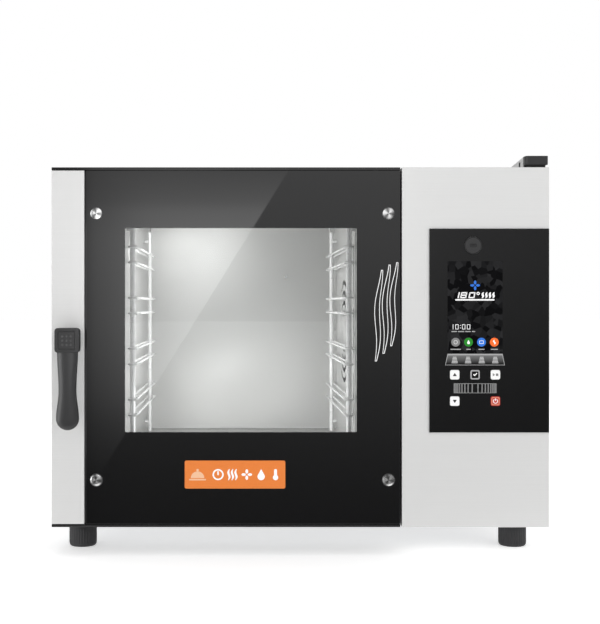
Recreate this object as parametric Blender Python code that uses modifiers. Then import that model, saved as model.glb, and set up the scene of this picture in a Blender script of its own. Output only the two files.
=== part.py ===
"""Bench-top combi steamer oven: a glass door on the left, a control column on the right.

Metres, +Z up, the front towards -Y. The origin is on the floor, under the middle of the outer box.
Spans are (low, high) pairs. Heights below are above the cabinet's underside, and depths are behind
the face of the door; height() and depth() turn them into Z and Y.
"""

import math

import bmesh
import bpy
from mathutils import Matrix

# Overall sizes
BODY_WIDTH = 0.850
BODY_HEIGHT = 0.615
BODY_DEPTH = 0.760
FOOT_HEIGHT = 0.0485
COLUMN_WIDTH = 0.2513
HANDLE_REACH = 0.050
REAR_FITTING_REACH = 0.018

# Sheets, gaps and fits
SHEET = 0.0015
LINER_SHEET = 0.0012
TOUCH = 0.0003
RUN_CLEARANCE = 0.0006
DOOR_SIDE_GAP = 0.0027
RAIL_THICKNESS = 0.005
RAIL_LAP = 0.014
RAIL_SETBACK = 0.001

# Door
STRIP_WIDTH = 0.056
STRIP_GAP = 0.0025
OUTER_GLASS = 0.006
INNER_GLASS = 0.005
WINDOW_WIDTH = 0.3956
WINDOW_HEIGHT = 0.3483
WINDOW_OFFSET = -0.00375
WINDOW_BOTTOM = 0.1626
WINDOW_MARGIN = 0.006
DOOR_FRAME_DEPTH = 0.0437
DOOR_STEP = 0.030
DOOR_EDGE_DEPTH = 0.022
INNER_PANEL_SIDE = 0.0045
INNER_GLASS_LAP = 0.015
BOLT_HEAD_RADIUS = 0.01135
BOLT_HEAD_HEIGHT = 0.004
BOLT_DOME = ((0.0, 1.0), (0.5, 0.92), (0.85, 0.65), (1.0, 0.2))
BOLT_SHANK_RADIUS = 0.004
BOLT_LENGTH = 0.014
BOLT_LEFT_INSET = 0.0768
BOLT_RIGHT_INSET = 0.0204
BOLT_TOP_HEIGHT = 0.536
BOLT_BOTTOM_HEIGHT = 0.0809
BADGE_WIDTH = 0.1718
BADGE_HEIGHT = 0.0478
BADGE_OFFSET = -0.010
BADGE_BOTTOM = 0.0664
BADGE_THICKNESS = 0.0015
LED_WIDTH = 0.012
LED_THICKNESS = 0.010
LED_HEIGHT = 0.330
LED_OFFSET = 0.004

# Door hinge
HINGE_INSET = 0.041
HINGE_SET = 0.0075
PIN_RADIUS = 0.004
PIN_LENGTH = 0.013
BUSH_WALL = 0.0012
HINGE_BLOCK = 0.022
HINGE_BLOCK_HEIGHT = 0.016

# Handle and latch
HANDLE_INSET = 0.033
HANDLE_AXIS_HEIGHT = 0.3206
HANDLE_HEAD = 0.0415
HANDLE_HEAD_CORNER = 0.006
HANDLE_SHOULDER = 0.75
HANDLE_NECK_DROP = 1.25
HANDLE_NECK_WIDTH = 0.86
HANDLE_WAIST = 0.031
HANDLE_BULB = 0.0387
HANDLE_DROP = 0.1548
GRIP_THICKNESS = 0.023
GRIP_ROUNDING = 0.005
HEAD_STANDOFF = 0.002
SPINDLE_RADIUS = 0.007
TONGUE_WIDTH = 0.012
TONGUE_LENGTH = 0.032
TONGUE_THICKNESS = 0.005
TONGUE_GAP = 0.0015
KEEPER_RADIUS = 0.005
KEEPER_DROP = 0.0224
KEEPER_BASE = (0.030, 0.036)
KEEPER_BASE_THICKNESS = 0.003

# Cavity
CAVITY_WIDTH = 0.415
CAVITY_DEPTH = 0.640
CAVITY_FLOOR = 0.095
CAVITY_HEIGHT = 0.465
GASKET_WIDTH = 0.0135
GASKET_THICKNESS = 0.0083
GASKET_INSET = 0.0015
GASKET_WALL = 0.003
INSULATION = 0.031
INSULATION_FRONT = 0.004
CHAMBER_WIDTH = 0.060
CHAMBER_INSET = 0.0622
CHAMBER_END_MARGIN = 0.027
CHAMBER_SIDE_MARGIN = 0.0475

# Tray racks
LEVELS = 4
LEVEL_PITCH = 0.0903
LOWEST_RAIL = 0.0892
RAIL_PAIR = 0.0278
RACK_WIRE = 0.004
RACK_POST = 0.008
RACK_WALL_GAP = 0.01575
RACK_LOOP_WIDTH = 0.0135
RACK_POST_OFFSET = 0.00175
RACK_INSET = 0.0322
RACK_POST_SPACING = 0.400
RACK_OVERHANG = 0.028
RACK_TOP_GAP = 0.025
RACK_BOTTOM_GAP = 0.017
RACK_STUD_RADIUS = 0.0032
RACK_STUD_MARGIN = 0.020

# Fan, heater and steam
FAN_RADIUS = 0.130
FAN_WIDTH = 0.038
FAN_EYE = 0.092
FAN_BLADES = 12
FAN_BLADE_LENGTH = 0.040
FAN_BLADE_LEAN = 35
FAN_HUB_RADIUS = 0.018
FAN_HUB_LENGTH = 0.0209
FAN_SHEET = 0.002
FAN_OFFSET = 0.008
SHAFT_RADIUS = 0.007
MOTOR_RADIUS = 0.055
MOTOR_LENGTH = 0.120
MOTOR_FLANGE_RADIUS = 0.075
MOTOR_FLANGE = 0.004
MOTOR_BORE_DEPTH = 0.020
HEATER_GAP = 0.030
HEATER_TUBE = 0.008
HEATER_TURNS = 2
HEATER_PITCH = 0.016
HEATER_STEP = 0.018
HEATER_TAIL = 0.012
HEATER_SEGMENTS = 18
BAFFLE_SHEET = 0.0015
BAFFLE_LAP = 0.015
BAFFLE_SLOT = 0.009
BAFFLE_FIRST_RING = 0.038
BAFFLE_RING_STEP = 0.020
BAFFLE_RINGS = 4
BAFFLE_ARCS = 4
BAFFLE_FIRST_TURN = 45
BAFFLE_BRIDGE = 8
OUTLET_SLOT_LENGTH = 0.090
OUTLET_SLOT_WIDTH = 0.014
PIPE_DIAMETER = 0.008
PROBE_RADIUS = 0.003
PROBE_REACH = 0.045
PROBE_BOSS_RADIUS = 0.008
DRAIN_RADIUS = 0.015
DRAIN_WALL = 0.0015
DRAIN_HEIGHT = 0.040
FLUE_RADIUS = 0.020
FLUE_WALL = 0.0015
FLUE_OFFSET = -0.0985
FLUE_INSET = 0.1078
FLUE_RISE = 0.015
DAMPER_SHEET = 0.0015
DAMPER_SHAFT_RADIUS = 0.002
DAMPER_REACH = 0.012
DAMPER_DISC_RADIUS = 0.007

# Control column
GLASS_LEFT_MARGIN = 0.0464
CONTROL_GLASS_BOTTOM = 0.1622
CONTROL_GLASS_HEIGHT = 0.3477
CONTROL_GLASS = 0.002
CONTROL_GLASS_EDGE = 0.0005
CONTROL_OPENING_MARGIN = 0.016
SCREEN_INSET = 0.1243
SCREEN_WIDTH = 0.0939
SCREEN_RISE = 0.1349
SCREEN_HEIGHT = 0.1573
SCREEN_BORDER = 0.005
SCREEN_THICKNESS = 0.006
KEY_SIZE = 0.016
KEY_CORNER = 0.003
KEY_PITCH = 0.0347
KEY_UPPER_RISE = 0.0985
KEY_LOWER_RISE = 0.0535
KEY_TRAVEL = 0.001
KEY_LIP = 0.0012
KEY_STEM_RADIUS = 0.003
KEY_STEM_LENGTH = 0.004
BOARD = 0.0016
BOARD_MARGIN = 0.004
USB_OFFSET = -0.0033
USB_DROP = 0.0287
USB_COVER_RADIUS = 0.015
USB_COVER_THICKNESS = 0.003
USB_PORT = (0.0125, 0.0050)
USB_PORT_DEPTH = 0.010
USB_BODY = (0.020, 0.013, 0.016)
POWER_BOARD_LENGTH = 0.250
POWER_BOARD_HEIGHT = 0.300
POWER_BOARD_FRONT = 0.150
POWER_BOARD_BOTTOM = 0.100
POWER_BOARD_STANDOFF = 0.020
COMPONENT_REACHES = (0.028, 0.018, 0.036)
COMPONENT_ROWS = 4
COMPONENT_LENGTH = 0.034375
COMPONENT_HEIGHT = 0.045

# Cooling and services at the back
COOLING_FAN_SIZE = 0.120
COOLING_FAN_DEPTH = 0.038
COOLING_FAN_INSET = 0.125
COOLING_FAN_HEIGHT = 0.150
COOLING_BORE = 0.056
COOLING_HUB = 0.021
COOLING_BLADES = 7
COOLING_ARM = 0.006
COOLING_BLADE_SHARES = (0.8, 0.97, 1.1)
COOLING_BLADE_LEAN = 50
GRILLE_RINGS = (0.45, 0.7, 0.95)
GRILLE_BRIDGE = 12
LOUVRE_COUNT = 8
LOUVRE_LENGTH = 0.120
LOUVRE_WIDTH = 0.006
LOUVRE_PITCH = 0.016
LOUVRE_BOTTOM = 0.380
VALVE_INSET = 0.050
VALVE_HEIGHT = 0.070
VALVE_SIZE = 0.036
VALVE_THREAD_RADIUS = 0.0105
VALVE_BORE_RADIUS = 0.0063
VALVE_COIL_REACH = 0.0576
VALVE_COIL_RADIUS = 0.0144
GLAND_INSET = 0.0313
GLAND_HEIGHT = 0.070
GLAND_RADIUS = 0.016
GLAND_THREAD_RADIUS = 0.012
GLAND_BORE = 0.007
VENT_WIDTH = 0.039
VENT_LENGTH = 0.107
VENT_CAP_LENGTH = 0.016
VENT_CAP_LIFT = 0.0064
VENT_CAP_HEIGHT = 0.0136
VENT_SETBACK = 0.003
VENT_SIDE = 0.001
VENT_FALL = 0.008

# Base and feet
BASE_RIM = 0.020
FOOT_RADIUS = 0.0245
FOOT_ROUNDING = 0.003
FOOT_INSET = 0.042
FOOT_FRONT_GAP = 0.012
FOOT_REAR_MARGIN = 0.070
FOOT_STEM_RADIUS = 0.005
FOOT_STEM_RISE = 0.025

# Facets
ROUND = 28
MEDIUM_ROUND = 20
SMALL_ROUND = 12
SHAFT_ROUND = 16
THREAD_ROUND = 24
CORNER = 3

# Places worked out from the sizes
LEFT = -BODY_WIDTH / 2
RIGHT = BODY_WIDTH / 2
COLUMN_LEFT = RIGHT - COLUMN_WIDTH
DOOR_RIGHT = COLUMN_LEFT - DOOR_SIDE_GAP
FACE_Y = HANDLE_REACH - (HANDLE_REACH + BODY_DEPTH + REAR_FITTING_REACH) / 2
FRAME_FRONT = OUTER_GLASS + TOUCH
FRAME_BACK = FRAME_FRONT + DOOR_FRAME_DEPTH
PANEL_BACK = FRAME_BACK + TOUCH + LINER_SHEET
DOOR_THICKNESS = PANEL_BACK + RUN_CLEARANCE + INNER_GLASS
FRAME_SETBACK = DOOR_THICKNESS + GASKET_THICKNESS + 2 * TOUCH
RAIL_DEPTH = FRAME_SETBACK + RAIL_LAP
HINGE_X = DOOR_RIGHT - HINGE_INSET
HINGE_DEPTH = OUTER_GLASS + HINGE_SET
STRIP_RIGHT = LEFT + STRIP_WIDTH
GLASS_LEFT = STRIP_RIGHT + STRIP_GAP
HANDLE_X = LEFT + HANDLE_INSET
WINDOW_CENTRE_X = (GLASS_LEFT + DOOR_RIGHT) / 2 + WINDOW_OFFSET
WINDOW_X = (WINDOW_CENTRE_X - WINDOW_WIDTH / 2, WINDOW_CENTRE_X + WINDOW_WIDTH / 2)
CAVITY_X = (WINDOW_CENTRE_X - CAVITY_WIDTH / 2, WINDOW_CENTRE_X + CAVITY_WIDTH / 2)
CAVITY_FRONT = FRAME_SETBACK + SHEET + TOUCH
CAVITY_BACK = CAVITY_FRONT + CAVITY_DEPTH
CAVITY_TOP = CAVITY_FLOOR + CAVITY_HEIGHT
RACK_HALF_WIDTH = CAVITY_WIDTH / 2 - RACK_WALL_GAP
RACK_FRONT = CAVITY_FRONT + RACK_INSET
RACK_TOP = CAVITY_TOP - RACK_TOP_GAP
RACK_BOTTOM = CAVITY_FLOOR + RACK_BOTTOM_GAP
HEATER_RADIUS = FAN_RADIUS + HEATER_GAP
CHAMBER_X = (CAVITY_X[1], CAVITY_X[1] + CHAMBER_WIDTH)
CHAMBER_FRONT = CAVITY_FRONT + CHAMBER_INSET
CHAMBER_LENGTH = 2 * (HEATER_RADIUS + HEATER_STEP + CHAMBER_END_MARGIN)
CHAMBER_HEIGHT = 2 * (HEATER_RADIUS + CHAMBER_SIDE_MARGIN)
FAN_DEPTH_PLACE = CHAMBER_FRONT + CHAMBER_LENGTH / 2
FAN_HEIGHT_PLACE = CAVITY_FLOOR + CAVITY_HEIGHT / 2
JACKET_RIGHT = CHAMBER_X[1] + LINER_SHEET + INSULATION
FLUE_X = WINDOW_CENTRE_X + FLUE_OFFSET
FLUE_DEPTH = CAVITY_BACK - FLUE_INSET
REAR_INNER = BODY_DEPTH - SHEET - TOUCH
BADGE_CENTRE_X = WINDOW_CENTRE_X + BADGE_OFFSET
CONTROL_GLASS_X = (COLUMN_LEFT + GLASS_LEFT_MARGIN, RIGHT - CONTROL_GLASS_EDGE)
CONTROL_GLASS_BACK = -TOUCH
CONTROL_GLASS_FRONT = CONTROL_GLASS_BACK - CONTROL_GLASS
SCREEN_CENTRE_X = COLUMN_LEFT + SCREEN_INSET
SCREEN_BOTTOM = CONTROL_GLASS_BOTTOM + SCREEN_RISE
KEY_UPPER_ROW = CONTROL_GLASS_BOTTOM + KEY_UPPER_RISE
KEY_LOWER_ROW = CONTROL_GLASS_BOTTOM + KEY_LOWER_RISE
USB_X = SCREEN_CENTRE_X + USB_OFFSET
USB_HEIGHT = CONTROL_GLASS_BOTTOM + CONTROL_GLASS_HEIGHT - USB_DROP
COOLING_FAN_X = RIGHT - COOLING_FAN_INSET
VALVE_X = RIGHT - VALVE_INSET
GLAND_X = COLUMN_LEFT + GLAND_INSET
FOOT_FRONT = RAIL_DEPTH + FOOT_FRONT_GAP

PART_NAME = "combi_steamer_oven"


def depth(value):
    """Y of a place so far behind the face of the door."""
    return FACE_Y + value


def height(value):
    """Z of a place so far above the cabinet's underside."""
    return FOOT_HEIGHT + value


def depths(low, high):
    return (depth(low), depth(high))


def heights(low, high):
    return (height(low), height(high))


def around(centre, size):
    return (centre - size / 2, centre + size / 2)


# Scene, collections and materials


def clear_scene():
    for found in list(bpy.data.objects):
        bpy.data.objects.remove(found, do_unlink=True)


def new_collection(name):
    collection = bpy.data.collections.new(name)
    bpy.context.scene.collection.children.link(collection)
    return collection


def new_material(name, colour, roughness, metallic):
    material = bpy.data.materials.new(name)
    material.use_nodes = True
    shader = material.node_tree.nodes["Principled BSDF"]
    shader.inputs["Base Color"].default_value = (*colour, 1.0)
    shader.inputs["Roughness"].default_value = roughness
    shader.inputs["Metallic"].default_value = metallic
    material.diffuse_color = (*colour, 1.0)
    return material


clear_scene()
PARTS = new_collection(PART_NAME)
CUTTERS = new_collection(PART_NAME + "_cutters")

LIGHT_STEEL = ((0.62, 0.62, 0.61), 0.35, 1.0)
CAVITY_STEEL = ((0.66, 0.66, 0.65), 0.25, 1.0)
ZINC_STEEL = ((0.50, 0.51, 0.52), 0.45, 1.0)
POLISHED = ((0.72, 0.72, 0.72), 0.15, 1.0)
BLACK_GLASS = ((0.012, 0.012, 0.013), 0.05, 0.0)
CLEAR_GLASS = ((0.85, 0.88, 0.88), 0.03, 0.0)
BLACK_PLASTIC = ((0.025, 0.025, 0.027), 0.45, 0.0)
BLACK_STEEL = ((0.018, 0.018, 0.019), 0.40, 0.0)
BLACK_RUBBER = ((0.040, 0.040, 0.042), 0.70, 0.0)
GREY_SILICONE = ((0.20, 0.20, 0.20), 0.60, 0.0)
WOOL = ((0.62, 0.56, 0.42), 0.95, 0.0)
ORANGE = ((0.87, 0.23, 0.04), 0.40, 0.0)
WHITE_PLASTIC = ((0.82, 0.82, 0.82), 0.40, 0.0)
GREY_PLASTIC = ((0.30, 0.30, 0.31), 0.45, 0.0)
RED_PLASTIC = ((0.64, 0.03, 0.03), 0.40, 0.0)
BOARD_GREEN = ((0.02, 0.14, 0.06), 0.50, 0.0)
BRASS = ((0.72, 0.55, 0.25), 0.30, 1.0)
MOTOR_PAINT = ((0.08, 0.10, 0.12), 0.50, 0.0)


# Shapes


def finish(obj, finish_values, origin):
    """Puts a part in the scene with its own material, its origin at the place given, shaded smooth."""
    obj.data.transform(Matrix.Translation([-v for v in origin]))
    obj.location = origin
    dress(obj, finish_values)
    return obj


def dress(obj, finish_values):
    obj.data.materials.clear()
    obj.data.materials.append(new_material(obj.name, *finish_values))
    if obj.type == "MESH":
        obj.data.shade_smooth()
        obj.data.set_sharp_from_angle(angle=math.radians(35))


def mesh_of(name, work):
    mesh = bpy.data.meshes.new(name)
    work.to_mesh(mesh)
    work.free()
    return mesh


def box_mesh(name, x, y, z):
    work = bmesh.new()
    bmesh.ops.create_cube(work, size=1.0)
    size = (x[1] - x[0], y[1] - y[0], z[1] - z[0])
    bmesh.ops.scale(work, vec=size, verts=work.verts)
    middle = (sum(x) / 2, sum(y) / 2, sum(z) / 2)
    bmesh.ops.translate(work, vec=middle, verts=work.verts)
    return mesh_of(name, work)


TURN_TO_AXIS = {
    "x": Matrix.Rotation(math.radians(90), 4, "Y"),
    "y": Matrix.Rotation(math.radians(-90), 4, "X"),
    "z": Matrix.Identity(4),
}


def cylinder_mesh(name, axis, centre, along, radius, sides=ROUND):
    """A cylinder about an axis: centre gives its place, and along the span on the axis itself."""
    work = bmesh.new()
    bmesh.ops.create_cone(
        work, cap_ends=True, segments=sides, radius1=radius, radius2=radius, depth=along[1] - along[0]
    )
    bmesh.ops.transform(work, matrix=TURN_TO_AXIS[axis], verts=work.verts)
    place = list(centre)
    place["xyz".index(axis)] = sum(along) / 2
    bmesh.ops.translate(work, vec=place, verts=work.verts)
    return mesh_of(name, work)


def drill_mesh(name, axis, centre, along, radius, sides=ROUND):
    """A round cutter whose facets clear the radius."""
    return cylinder_mesh(name, axis, centre, along, clear_radius(radius, sides), sides)


def add_part(name, mesh, finish_values, origin=(0.0, 0.0, 0.0)):
    obj = bpy.data.objects.new(name, mesh)
    PARTS.objects.link(obj)
    return finish(obj, finish_values, origin)


def add_helper(part, mesh):
    """A cutter, or a piece that a Boolean joins to its part. The helper keeps out of the render."""
    helper = bpy.data.objects.new(f"{part.name}_shape_{len(part.modifiers)}", mesh)
    CUTTERS.objects.link(helper)
    helper.hide_render = True
    helper.display_type = "WIRE"
    return helper


def apply_shape(part, mesh, operation):
    modifier = part.modifiers.new(f"{operation.lower()}_{len(part.modifiers)}", "BOOLEAN")
    modifier.operation = operation
    modifier.solver = "EXACT"
    modifier.object = add_helper(part, mesh)


def cut(part, *meshes):
    for mesh in meshes:
        apply_shape(part, mesh, "DIFFERENCE")


def join(part, *meshes):
    for mesh in meshes:
        apply_shape(part, mesh, "UNION")


def soften(part, width, segments=2):
    bevel = part.modifiers.new("soften", "BEVEL")
    bevel.width = width
    bevel.segments = segments
    bevel.limit_method = "ANGLE"
    bevel.angle_limit = math.radians(40)


def arc(centre, radius, start, end, steps):
    """Points along an arc, angles in degrees, both ends included."""
    points = []
    for step in range(steps + 1):
        angle = math.radians(start + (end - start) * step / steps)
        points.append((centre[0] + radius * math.cos(angle), centre[1] + radius * math.sin(angle)))
    return points


def rounded(u, v, radius=0.0, steps=CORNER):
    """Outline of a rectangle with round corners."""
    if radius == 0.0:
        return [(u[0], v[0]), (u[1], v[0]), (u[1], v[1]), (u[0], v[1])]
    points = arc((u[0] + radius, v[0] + radius), radius, 180, 270, steps)
    points += arc((u[1] - radius, v[0] + radius), radius, 270, 360, steps)
    points += arc((u[1] - radius, v[1] - radius), radius, 0, 90, steps)
    points += arc((u[0] + radius, v[1] - radius), radius, 90, 180, steps)
    return points


def circle(centre, radius, steps=ROUND):
    return arc(centre, radius, 0, 360, steps)[:-1]


def clear_radius(radius, sides):
    """Corner radius of a polygon whose flats still clear the radius."""
    return radius / math.cos(math.pi / sides)


def hole(centre, radius, steps=ROUND):
    return circle(centre, clear_radius(radius, steps), steps)


def arc_slot(centre, radius, width, start, end, steps=4):
    """Outline of a slot with square ends that follows a circle."""
    outer = arc(centre, radius + width / 2, start, end, steps)
    inner = arc(centre, radius - width / 2, end, start, steps)
    return outer + inner


FACING = {
    "front": (math.radians(90), 0.0, 0.0),
    "side": (math.radians(90), 0.0, math.radians(90)),
    "top": (0.0, 0.0, 0.0),
}
FACING_NORMAL = {"front": 1, "side": 0, "top": 2}


def plate_mesh(name, facing, loops, span, rounding=0.0):
    """A flat outline with holes, extruded: its loops lie in the XZ, YZ or XY plane."""
    curve = bpy.data.curves.new(name, "CURVE")
    curve.dimensions = "2D"
    curve.fill_mode = "BOTH"
    curve.extrude = (span[1] - span[0]) / 2 - rounding
    curve.bevel_depth = rounding
    curve.bevel_resolution = 2
    curve.offset = -rounding
    for loop in loops:
        spline = curve.splines.new("POLY")
        spline.points.add(len(loop) - 1)
        for point, (u, v) in zip(spline.points, loop):
            point.co = (u, v, 0.0, 1.0)
        spline.use_cyclic_u = True
    place = [0.0, 0.0, 0.0]
    place[FACING_NORMAL[facing]] = sum(span) / 2
    return curve_to_mesh(name, curve, FACING[facing], place)


def curve_to_mesh(name, curve, rotation=(0.0, 0.0, 0.0), place=(0.0, 0.0, 0.0)):
    """The closed mesh of a curve, in world space, with its loose caps welded."""
    holder = bpy.data.objects.new(name, curve)
    holder.rotation_euler = rotation
    holder.location = place
    CUTTERS.objects.link(holder)
    bpy.context.view_layer.update()
    evaluated = holder.evaluated_get(bpy.context.evaluated_depsgraph_get())
    mesh = bpy.data.meshes.new_from_object(evaluated)
    mesh.transform(holder.matrix_world)
    bpy.data.objects.remove(holder)
    work = bmesh.new()
    work.from_mesh(mesh)
    bmesh.ops.remove_doubles(work, verts=work.verts, dist=0.00001)
    bmesh.ops.recalc_face_normals(work, faces=work.faces)
    work.to_mesh(mesh)
    work.free()
    mesh.name = name
    return mesh


def tube_mesh(name, points, diameter, closed=False, resolution=2):
    """A round wire or pipe along points, with filled ends unless it is a closed loop."""
    curve = bpy.data.curves.new(name, "CURVE")
    curve.dimensions = "3D"
    curve.bevel_depth = diameter / 2
    curve.bevel_resolution = resolution
    curve.use_fill_caps = not closed
    spline = curve.splines.new("POLY")
    spline.points.add(len(points) - 1)
    for place, point in zip(spline.points, points):
        place.co = (*point, 1.0)
    spline.use_cyclic_u = closed
    return curve_to_mesh(name, curve)


def round_corners(points, radius, steps=5):
    """The same route with each corner replaced by a short curve that starts one radius before it."""
    from_points = [list(p) for p in points]
    route = [from_points[0]]
    for before, corner, after in zip(from_points, from_points[1:], from_points[2:]):
        start = towards(corner, before, radius)
        end = towards(corner, after, radius)
        for step in range(steps + 1):
            t = step / steps
            blend = [
                (1 - t) ** 2 * s + 2 * t * (1 - t) * c + t**2 * e for s, c, e in zip(start, corner, end)
            ]
            route.append(blend)
    route.append(from_points[-1])
    return route


def towards(start, end, distance):
    length = math.dist(start, end)
    return [s + (e - s) * distance / length for s, e in zip(start, end)]


def turned_part(name, axis, place, profile, finish_values, closed=False, sides=ROUND):
    """A turned piece. Profile points are (radius, distance along the axis), from its top down."""
    mesh = bpy.data.meshes.new(name)
    edges = [(i, i + 1) for i in range(len(profile) - 1)]
    if closed:
        edges.append((len(profile) - 1, 0))
    mesh.from_pydata([(radius, 0.0, along) for radius, along in profile], edges, [])
    obj = bpy.data.objects.new(name, mesh)
    PARTS.objects.link(obj)
    obj.location = place
    obj.rotation_euler = TURN_TO_AXIS[axis].to_euler()
    dress(obj, finish_values)
    screw = obj.modifiers.new("turn", "SCREW")
    screw.steps = sides
    screw.render_steps = sides
    screw.use_merge_vertices = True
    screw.merge_threshold = 0.00001
    screw.use_smooth_shade = True
    return obj


# Cabinet


def base_tray():
    outer = box_mesh(
        "base_tray",
        (LEFT + SHEET, RIGHT - SHEET - TOUCH),
        depths(RAIL_DEPTH + TOUCH, REAR_INNER),
        heights(0.0, BASE_RIM),
    )
    part = add_part("base_tray", outer, ZINC_STEEL)
    hollow = box_mesh(
        "base_hollow",
        (LEFT + 2 * SHEET, RIGHT - 2 * SHEET - TOUCH),
        depths(RAIL_DEPTH + TOUCH + SHEET, REAR_INNER - SHEET),
        heights(SHEET, 2 * BASE_RIM),
    )
    cut(part, hollow)
    for x, back in foot_places():
        radius = FOOT_STEM_RADIUS + RUN_CLEARANCE
        span = heights(-SHEET, 2 * SHEET)
        cut(part, drill_mesh("foot_hole", "z", (x, depth(back), 0.0), span, radius, SMALL_ROUND))


def side_panel(name, x):
    outline = rounded(depths(RAIL_DEPTH + TOUCH, REAR_INNER), heights(0.0, BODY_HEIGHT - SHEET - TOUCH))
    add_part(name, plate_mesh(name, "side", [outline], x), LIGHT_STEEL)


def side_panels():
    side_panel("side_panel_left", (LEFT, LEFT + SHEET - TOUCH))
    side_panel("side_panel_right", (RIGHT - SHEET, RIGHT))


def top_cover():
    outline = rounded((LEFT, RIGHT), depths(RAIL_DEPTH + TOUCH, BODY_DEPTH))
    flue_hole = hole((FLUE_X, depth(FLUE_DEPTH)), FLUE_RADIUS + TOUCH)
    span = heights(BODY_HEIGHT - SHEET, BODY_HEIGHT)
    add_part("top_cover", plate_mesh("top_cover", "top", [outline, flue_hole], span), LIGHT_STEEL)


def rear_cover():
    outline = rounded((LEFT, RIGHT), heights(0.0, BODY_HEIGHT - SHEET - TOUCH))
    loops = [outline]
    loops.append(hole((WINDOW_CENTRE_X, height(DRAIN_HEIGHT)), DRAIN_RADIUS + TOUCH))
    loops.append(hole((VALVE_X, height(VALVE_HEIGHT)), VALVE_THREAD_RADIUS + TOUCH, SMALL_ROUND))
    loops.append(hole((GLAND_X, height(GLAND_HEIGHT)), GLAND_THREAD_RADIUS + TOUCH, SMALL_ROUND))
    fan_centre = (COOLING_FAN_X, height(COOLING_FAN_HEIGHT))
    for share in GRILLE_RINGS:
        for quarter in range(4):
            start = 90 * quarter + GRILLE_BRIDGE
            end = 90 * (quarter + 1) - GRILLE_BRIDGE
            loops.append(arc_slot(fan_centre, COOLING_BORE * share, COOLING_ARM, start, end))
    for row in range(LOUVRE_COUNT):
        middle = height(LOUVRE_BOTTOM + row * LOUVRE_PITCH)
        loops.append(rounded(around(COOLING_FAN_X, LOUVRE_LENGTH), around(middle, LOUVRE_WIDTH)))
    span = depths(BODY_DEPTH - SHEET, BODY_DEPTH)
    add_part("rear_cover", plate_mesh("rear_cover", "front", loops, span), ZINC_STEEL)


def front_frame():
    outline = rounded(
        (LEFT, DOOR_RIGHT), heights(RAIL_THICKNESS + TOUCH, BODY_HEIGHT - RAIL_THICKNESS - TOUCH)
    )
    mouth = rounded(CAVITY_X, heights(CAVITY_FLOOR, CAVITY_TOP))
    span = depths(FRAME_SETBACK, FRAME_SETBACK + SHEET)
    add_part("front_frame", plate_mesh("front_frame", "front", [outline, mouth], span), CAVITY_STEEL)


def hinge_rail(name, z, pin_z):
    """A rail across the cabinet's front edge, over or under the door, with its hinge pin."""
    rail = box_mesh(name, (LEFT, DOOR_RIGHT), depths(RAIL_SETBACK, RAIL_DEPTH), z)
    part = add_part(name, rail, BLACK_STEEL)
    place = (HINGE_X, depth(HINGE_DEPTH), 0.0)
    join(part, cylinder_mesh("hinge_pin", "z", place, pin_z, PIN_RADIUS, SMALL_ROUND))


def hinge_rails():
    bottom = heights(0.0, RAIL_THICKNESS)
    top = heights(BODY_HEIGHT - RAIL_THICKNESS, BODY_HEIGHT)
    hinge_rail("hinge_rail_bottom", bottom, (bottom[0] + SHEET, bottom[1] + PIN_LENGTH))
    hinge_rail("hinge_rail_top", top, (top[0] - PIN_LENGTH, top[1] - SHEET))


def foot_places():
    """(x, depth) of each foot: front left, front right, rear left, rear right."""
    places = []
    for back in (FOOT_FRONT, BODY_DEPTH - FOOT_REAR_MARGIN):
        for x in (LEFT + FOOT_INSET, RIGHT - FOOT_INSET):
            places.append((x, back))
    return places


def feet():
    names = ("foot_front_left", "foot_front_right", "foot_rear_left", "foot_rear_right")
    top = FOOT_HEIGHT - TOUCH
    profile = [(0.0, FOOT_HEIGHT + FOOT_STEM_RISE), (FOOT_STEM_RADIUS, FOOT_HEIGHT + FOOT_STEM_RISE)]
    profile += [(FOOT_STEM_RADIUS, top), (FOOT_RADIUS, top), (FOOT_RADIUS, FOOT_ROUNDING)]
    profile += [(FOOT_RADIUS - FOOT_ROUNDING, 0.0), (0.0, 0.0)]
    for name, (x, back) in zip(names, foot_places()):
        turned_part(name, "z", (x, depth(back), 0.0), profile, BLACK_RUBBER, sides=MEDIUM_ROUND)


# Cavity


def grown(span, amount):
    return (span[0] - amount, span[1] + amount)


def chamber_box(name, margin, left_margin):
    """The fan chamber's space, grown by a margin, and reaching left into the cavity."""
    return box_mesh(
        name,
        (CHAMBER_X[0] - left_margin, CHAMBER_X[1] + margin),
        grown(depths(CHAMBER_FRONT, CHAMBER_FRONT + CHAMBER_LENGTH), margin),
        grown(around(height(FAN_HEIGHT_PLACE), CHAMBER_HEIGHT), margin),
    )


def cavity_box(name, margin, front):
    """The cooking space, grown by a margin on all sides but the front, which is a depth."""
    return box_mesh(
        name,
        grown(CAVITY_X, margin),
        depths(front, CAVITY_BACK + margin),
        grown(heights(CAVITY_FLOOR, CAVITY_TOP), margin),
    )


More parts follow.
